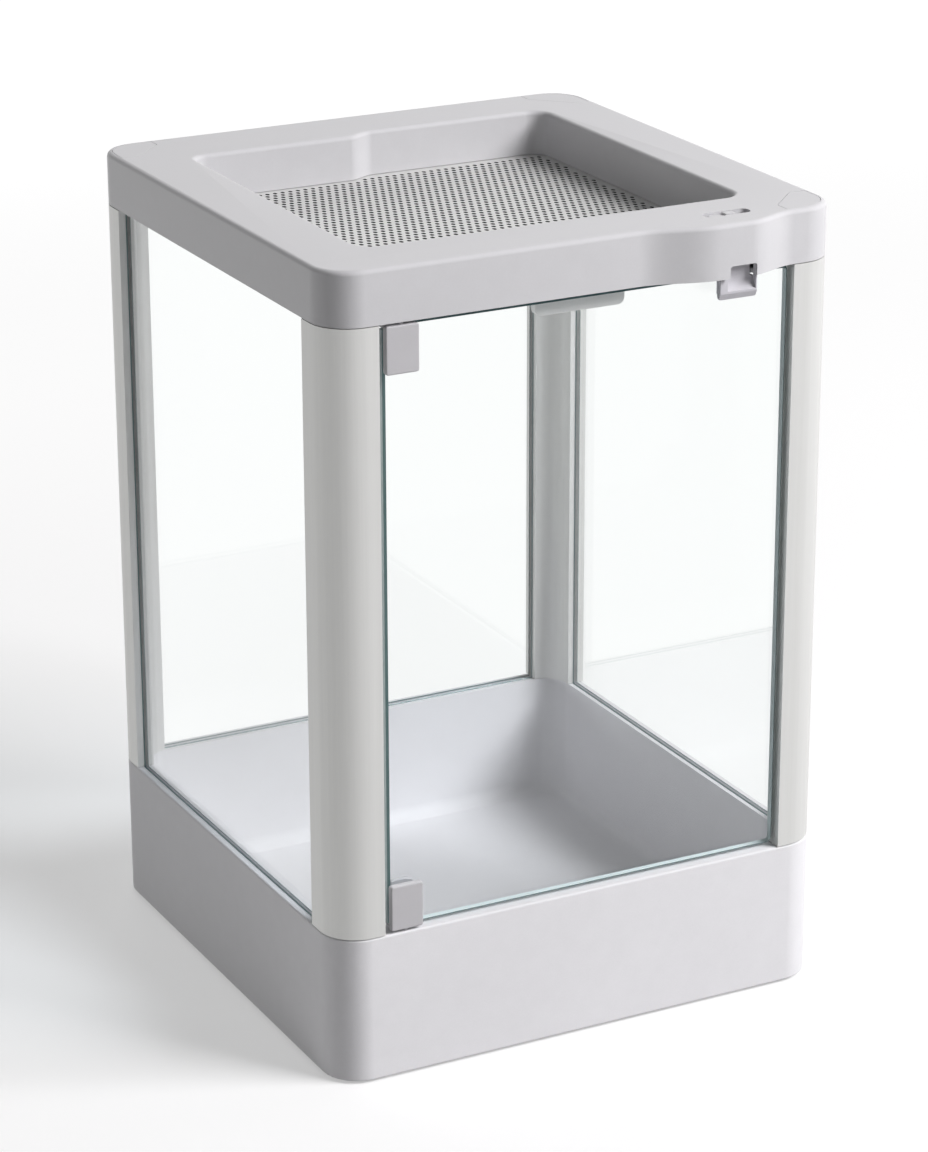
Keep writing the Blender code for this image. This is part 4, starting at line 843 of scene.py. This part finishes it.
low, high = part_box("base_screw_front_left")
screw["radius"] = (high.x - low.x) / 2
for family, sign in (("base", 1), ("top", -1)):
    members = [name for name in nodes if name.startswith(f"{family}_screw_")]
    seats = []
    for name in members:
        low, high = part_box(name)
        seat = low.z + screw["headHeight"] if sign > 0 else high.z - screw["headHeight"]
        seats.append(((low.x + high.x) / 2, (low.y + high.y) / 2, seat))
    shape = makeScrew(high.z - low.z - screw["headHeight"])
    tilt = (0.0, 0.0, 0.0) if sign > 0 else (math.pi, 0.0, 0.0)
    screws = setDown(f"{family}Screws", shape, seats, screwSteel, 11, turnRange=1.5, tilt=tilt, sharp=35)
    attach(screws, "case")
    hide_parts(*members)
    bpy.data.objects.remove(shape)
    print(family, "screws:", len(screws.data.polygons), "faces")

# ejector marks and the gate mark left by moulding, under the tray's floor
ejector = {
    "radius": 0.0030, "relief": 0.00012, "bevel": 0.00008, "ring": 0.0004, "steps": 32,
    "columns": (-0.048, 0.0, 0.048), "gateRadius": 0.0016, "gateHeight": 0.0006,
    "footGap": 0.0003, "root": 0.00005,  # how far over the feet the tray's floor is, and how deep a mark is rooted
}
low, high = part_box("foot_front_left")
underside = high.z + ejector["footGap"]
radius, relief, ring, root = ejector["radius"], ejector["relief"], ejector["ring"], ejector["root"]
profile = [
    (0.0, -relief / 2), (radius - ring, -relief / 2), (radius - ring + ejector["bevel"], -relief),
    (radius - ejector["bevel"], -relief), (radius, root), (0.0, root),
]
mark = lathe("mark", profile, ejector["steps"])
spots = [
    (x, y, underside) for x in ejector["columns"] for y in ejector["columns"] if x or y
]
ejectorMarks = setDown("ejectorMarks", mark, spots, basePlastic, 5)
gateR, gateH = ejector["gateRadius"], ejector["gateHeight"]
gate = lathe("gate", [
    (0.0, -gateH * 0.7), (gateR * 0.35, -gateH), (gateR * 0.6, -gateH * 0.8), (gateR, -0.00002), (gateR, root),
    (0.0, root),
], 24)
gateMark = setDown("gateMark", gate, [(0.0, 0.0, underside)], basePlastic, 6)
for piece in (ejectorMarks, gateMark):
    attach(piece, "case")
bpy.data.objects.remove(mark)
bpy.data.objects.remove(gate)
print("moulding marks:", len(ejectorMarks.data.polygons) + len(gateMark.data.polygons), "faces")

camera = {
    "position": (-0.60852, -1.17485, 0.63558), "turn": (69.69961, 0.13666, -27.45514), "lens": 117.6548,
}
cameraData = bpy.data.cameras.new("camera")
cameraData.lens = camera["lens"]
cameraData.sensor_width = 36.0
cameraObject = bpy.data.objects.new("camera", cameraData)
cameraObject.location = camera["position"]
cameraObject.rotation_euler = Euler([math.radians(value) for value in camera["turn"]])
bpy.context.scene.collection.objects.link(cameraObject)
bpy.context.scene.camera = cameraObject

# what the camera sees of the floor is part paint and part glow: less glow near the case keeps its shadow there
floorLook = {
    "size": 8.0, "paint": 0.54, "shownPaint": 0.95, "glow": (1.07, 1.16), "share": (0.70, 0.36), "farShare": 0.30,
    "closeRange": (0.22, 0.80), "farRange": (0.9, 1.8),
}
side = floorLook["size"]
corners = [(-side, -side, 0), (side, -side, 0), (side, side, 0), (-side, side, 0)]
floor = newObject("floor", corners, [], [(0, 1, 2, 3)])
floorPaint, tree, shader = newMaterial("floorPaint")
shader.inputs["Roughness"].default_value = 0.9
shader.inputs["Specular IOR Level"].default_value = 0.1
path = addNode(tree, "ShaderNodeLightPath")
straight = path.outputs["Is Camera Ray"]
bounced, shown = [(value, value, value, 1) for value in (floorLook["paint"], floorLook["shownPaint"])]
paint = mixColour(tree, straight, bounced, shown)
linkValue(tree, shader.inputs["Base Color"], paint)
place = addNode(tree, "ShaderNodeTexCoord").outputs["Object"]
reach = addNode(tree, "ShaderNodeVectorMath", {0: place}, operation="LENGTH").outputs["Value"]
close = mapRange(tree, reach, *floorLook["closeRange"], 1.0, 0.0, smooth=True)
strength = mapRange(tree, straight, 0.0, 1.0, 1.0, mapRange(tree, close, 0.0, 1.0, *floorLook["glow"]))
glow = addNode(tree, "ShaderNodeEmission", {"Color": (1, 1, 1, 1), "Strength": strength})
direct = mapRange(tree, close, 0.0, 1.0, *floorLook["share"])
further = mapRange(tree, reach, *floorLook["farRange"], 0.0, floorLook["farShare"], smooth=True)
direct = addMath(tree, "MULTIPLY", straight, addMath(tree, "ADD", direct, further))
share = addMath(tree, "MAXIMUM", path.outputs["Is Glossy Ray"], path.outputs["Is Transmission Ray"])
share = addMath(tree, "MAXIMUM", share, direct)
mixed = addNode(tree, "ShaderNodeMixShader", {0: share, 1: shader.outputs[0], 2: glow.outputs[0]})
clear = addNode(tree, "ShaderNodeBsdfTransparent")
below = addNode(tree, "ShaderNodeNewGeometry").outputs["Backfacing"]  # the floor hides nothing from below
mixed = addNode(tree, "ShaderNodeMixShader", {0: below, 1: mixed.outputs[0], 2: clear.outputs[0]})
tree.links.new(mixed.outputs[0], tree.nodes["Material Output"].inputs["Surface"])
floor.data.materials.append(floorPaint)

world = bpy.data.worlds.new("studio")
bpy.context.scene.world = world
world.use_nodes = True
tree = world.node_tree
backdrop = tree.nodes["Background"]
backdrop.inputs["Color"].default_value = (1, 1, 1, 1)
path = addNode(tree, "ShaderNodeLightPath")
seen = addMath(tree, "MAXIMUM", path.outputs["Is Camera Ray"], path.outputs["Is Glossy Ray"])
seen = addMath(tree, "MAXIMUM", seen, path.outputs["Is Transmission Ray"])
studioFill = 0.075
linkValue(tree, backdrop.inputs["Strength"], mapRange(tree, seen, 0.0, 1.0, studioFill, 1.0))

# each lamp: where it stands, what it looks at, its width and height in metres, its watts and its colour
lamps = {
    "keyLamp": {"from": (1.22, -1.20, 1.56), "to": (0, 0, 0.15), "size": (1.1, 1.1), "watts": 62.5,
                "colour": (1.0, 0.99, 1.0)},
    "sideLamp": {"from": (-1.60, 1.10, 0.22), "to": (0, 0, 0.08), "size": (1.0, 0.4), "watts": 7.0,
                 "colour": (1.0, 1.0, 0.99)},
    "backLamp": {"from": (0.4, 1.9, 0.75), "to": (0, 0, 0.15), "size": (1.3, 1.3), "watts": 10.0,
                 "colour": (1.0, 1.0, 1.0)},
}
for name, lamp in lamps.items():
    data = bpy.data.lights.new(name, "AREA")
    data.shape = "RECTANGLE"
    data.size, data.size_y = lamp["size"]
    data.energy = lamp["watts"]
    data.color = lamp["colour"]
    obj = bpy.data.objects.new(name, data)
    obj.location = lamp["from"]
    direction = Vector(lamp["to"]) - Vector(lamp["from"])
    obj.rotation_euler = direction.to_track_quat("-Z", "Y").to_euler()
    obj.visible_glossy = False  # the lamps leave no streaks on the deck
    bpy.context.scene.collection.objects.link(obj)

bpy.context.scene.view_settings.view_transform = "Standard"
print("stage, lamps and camera set")
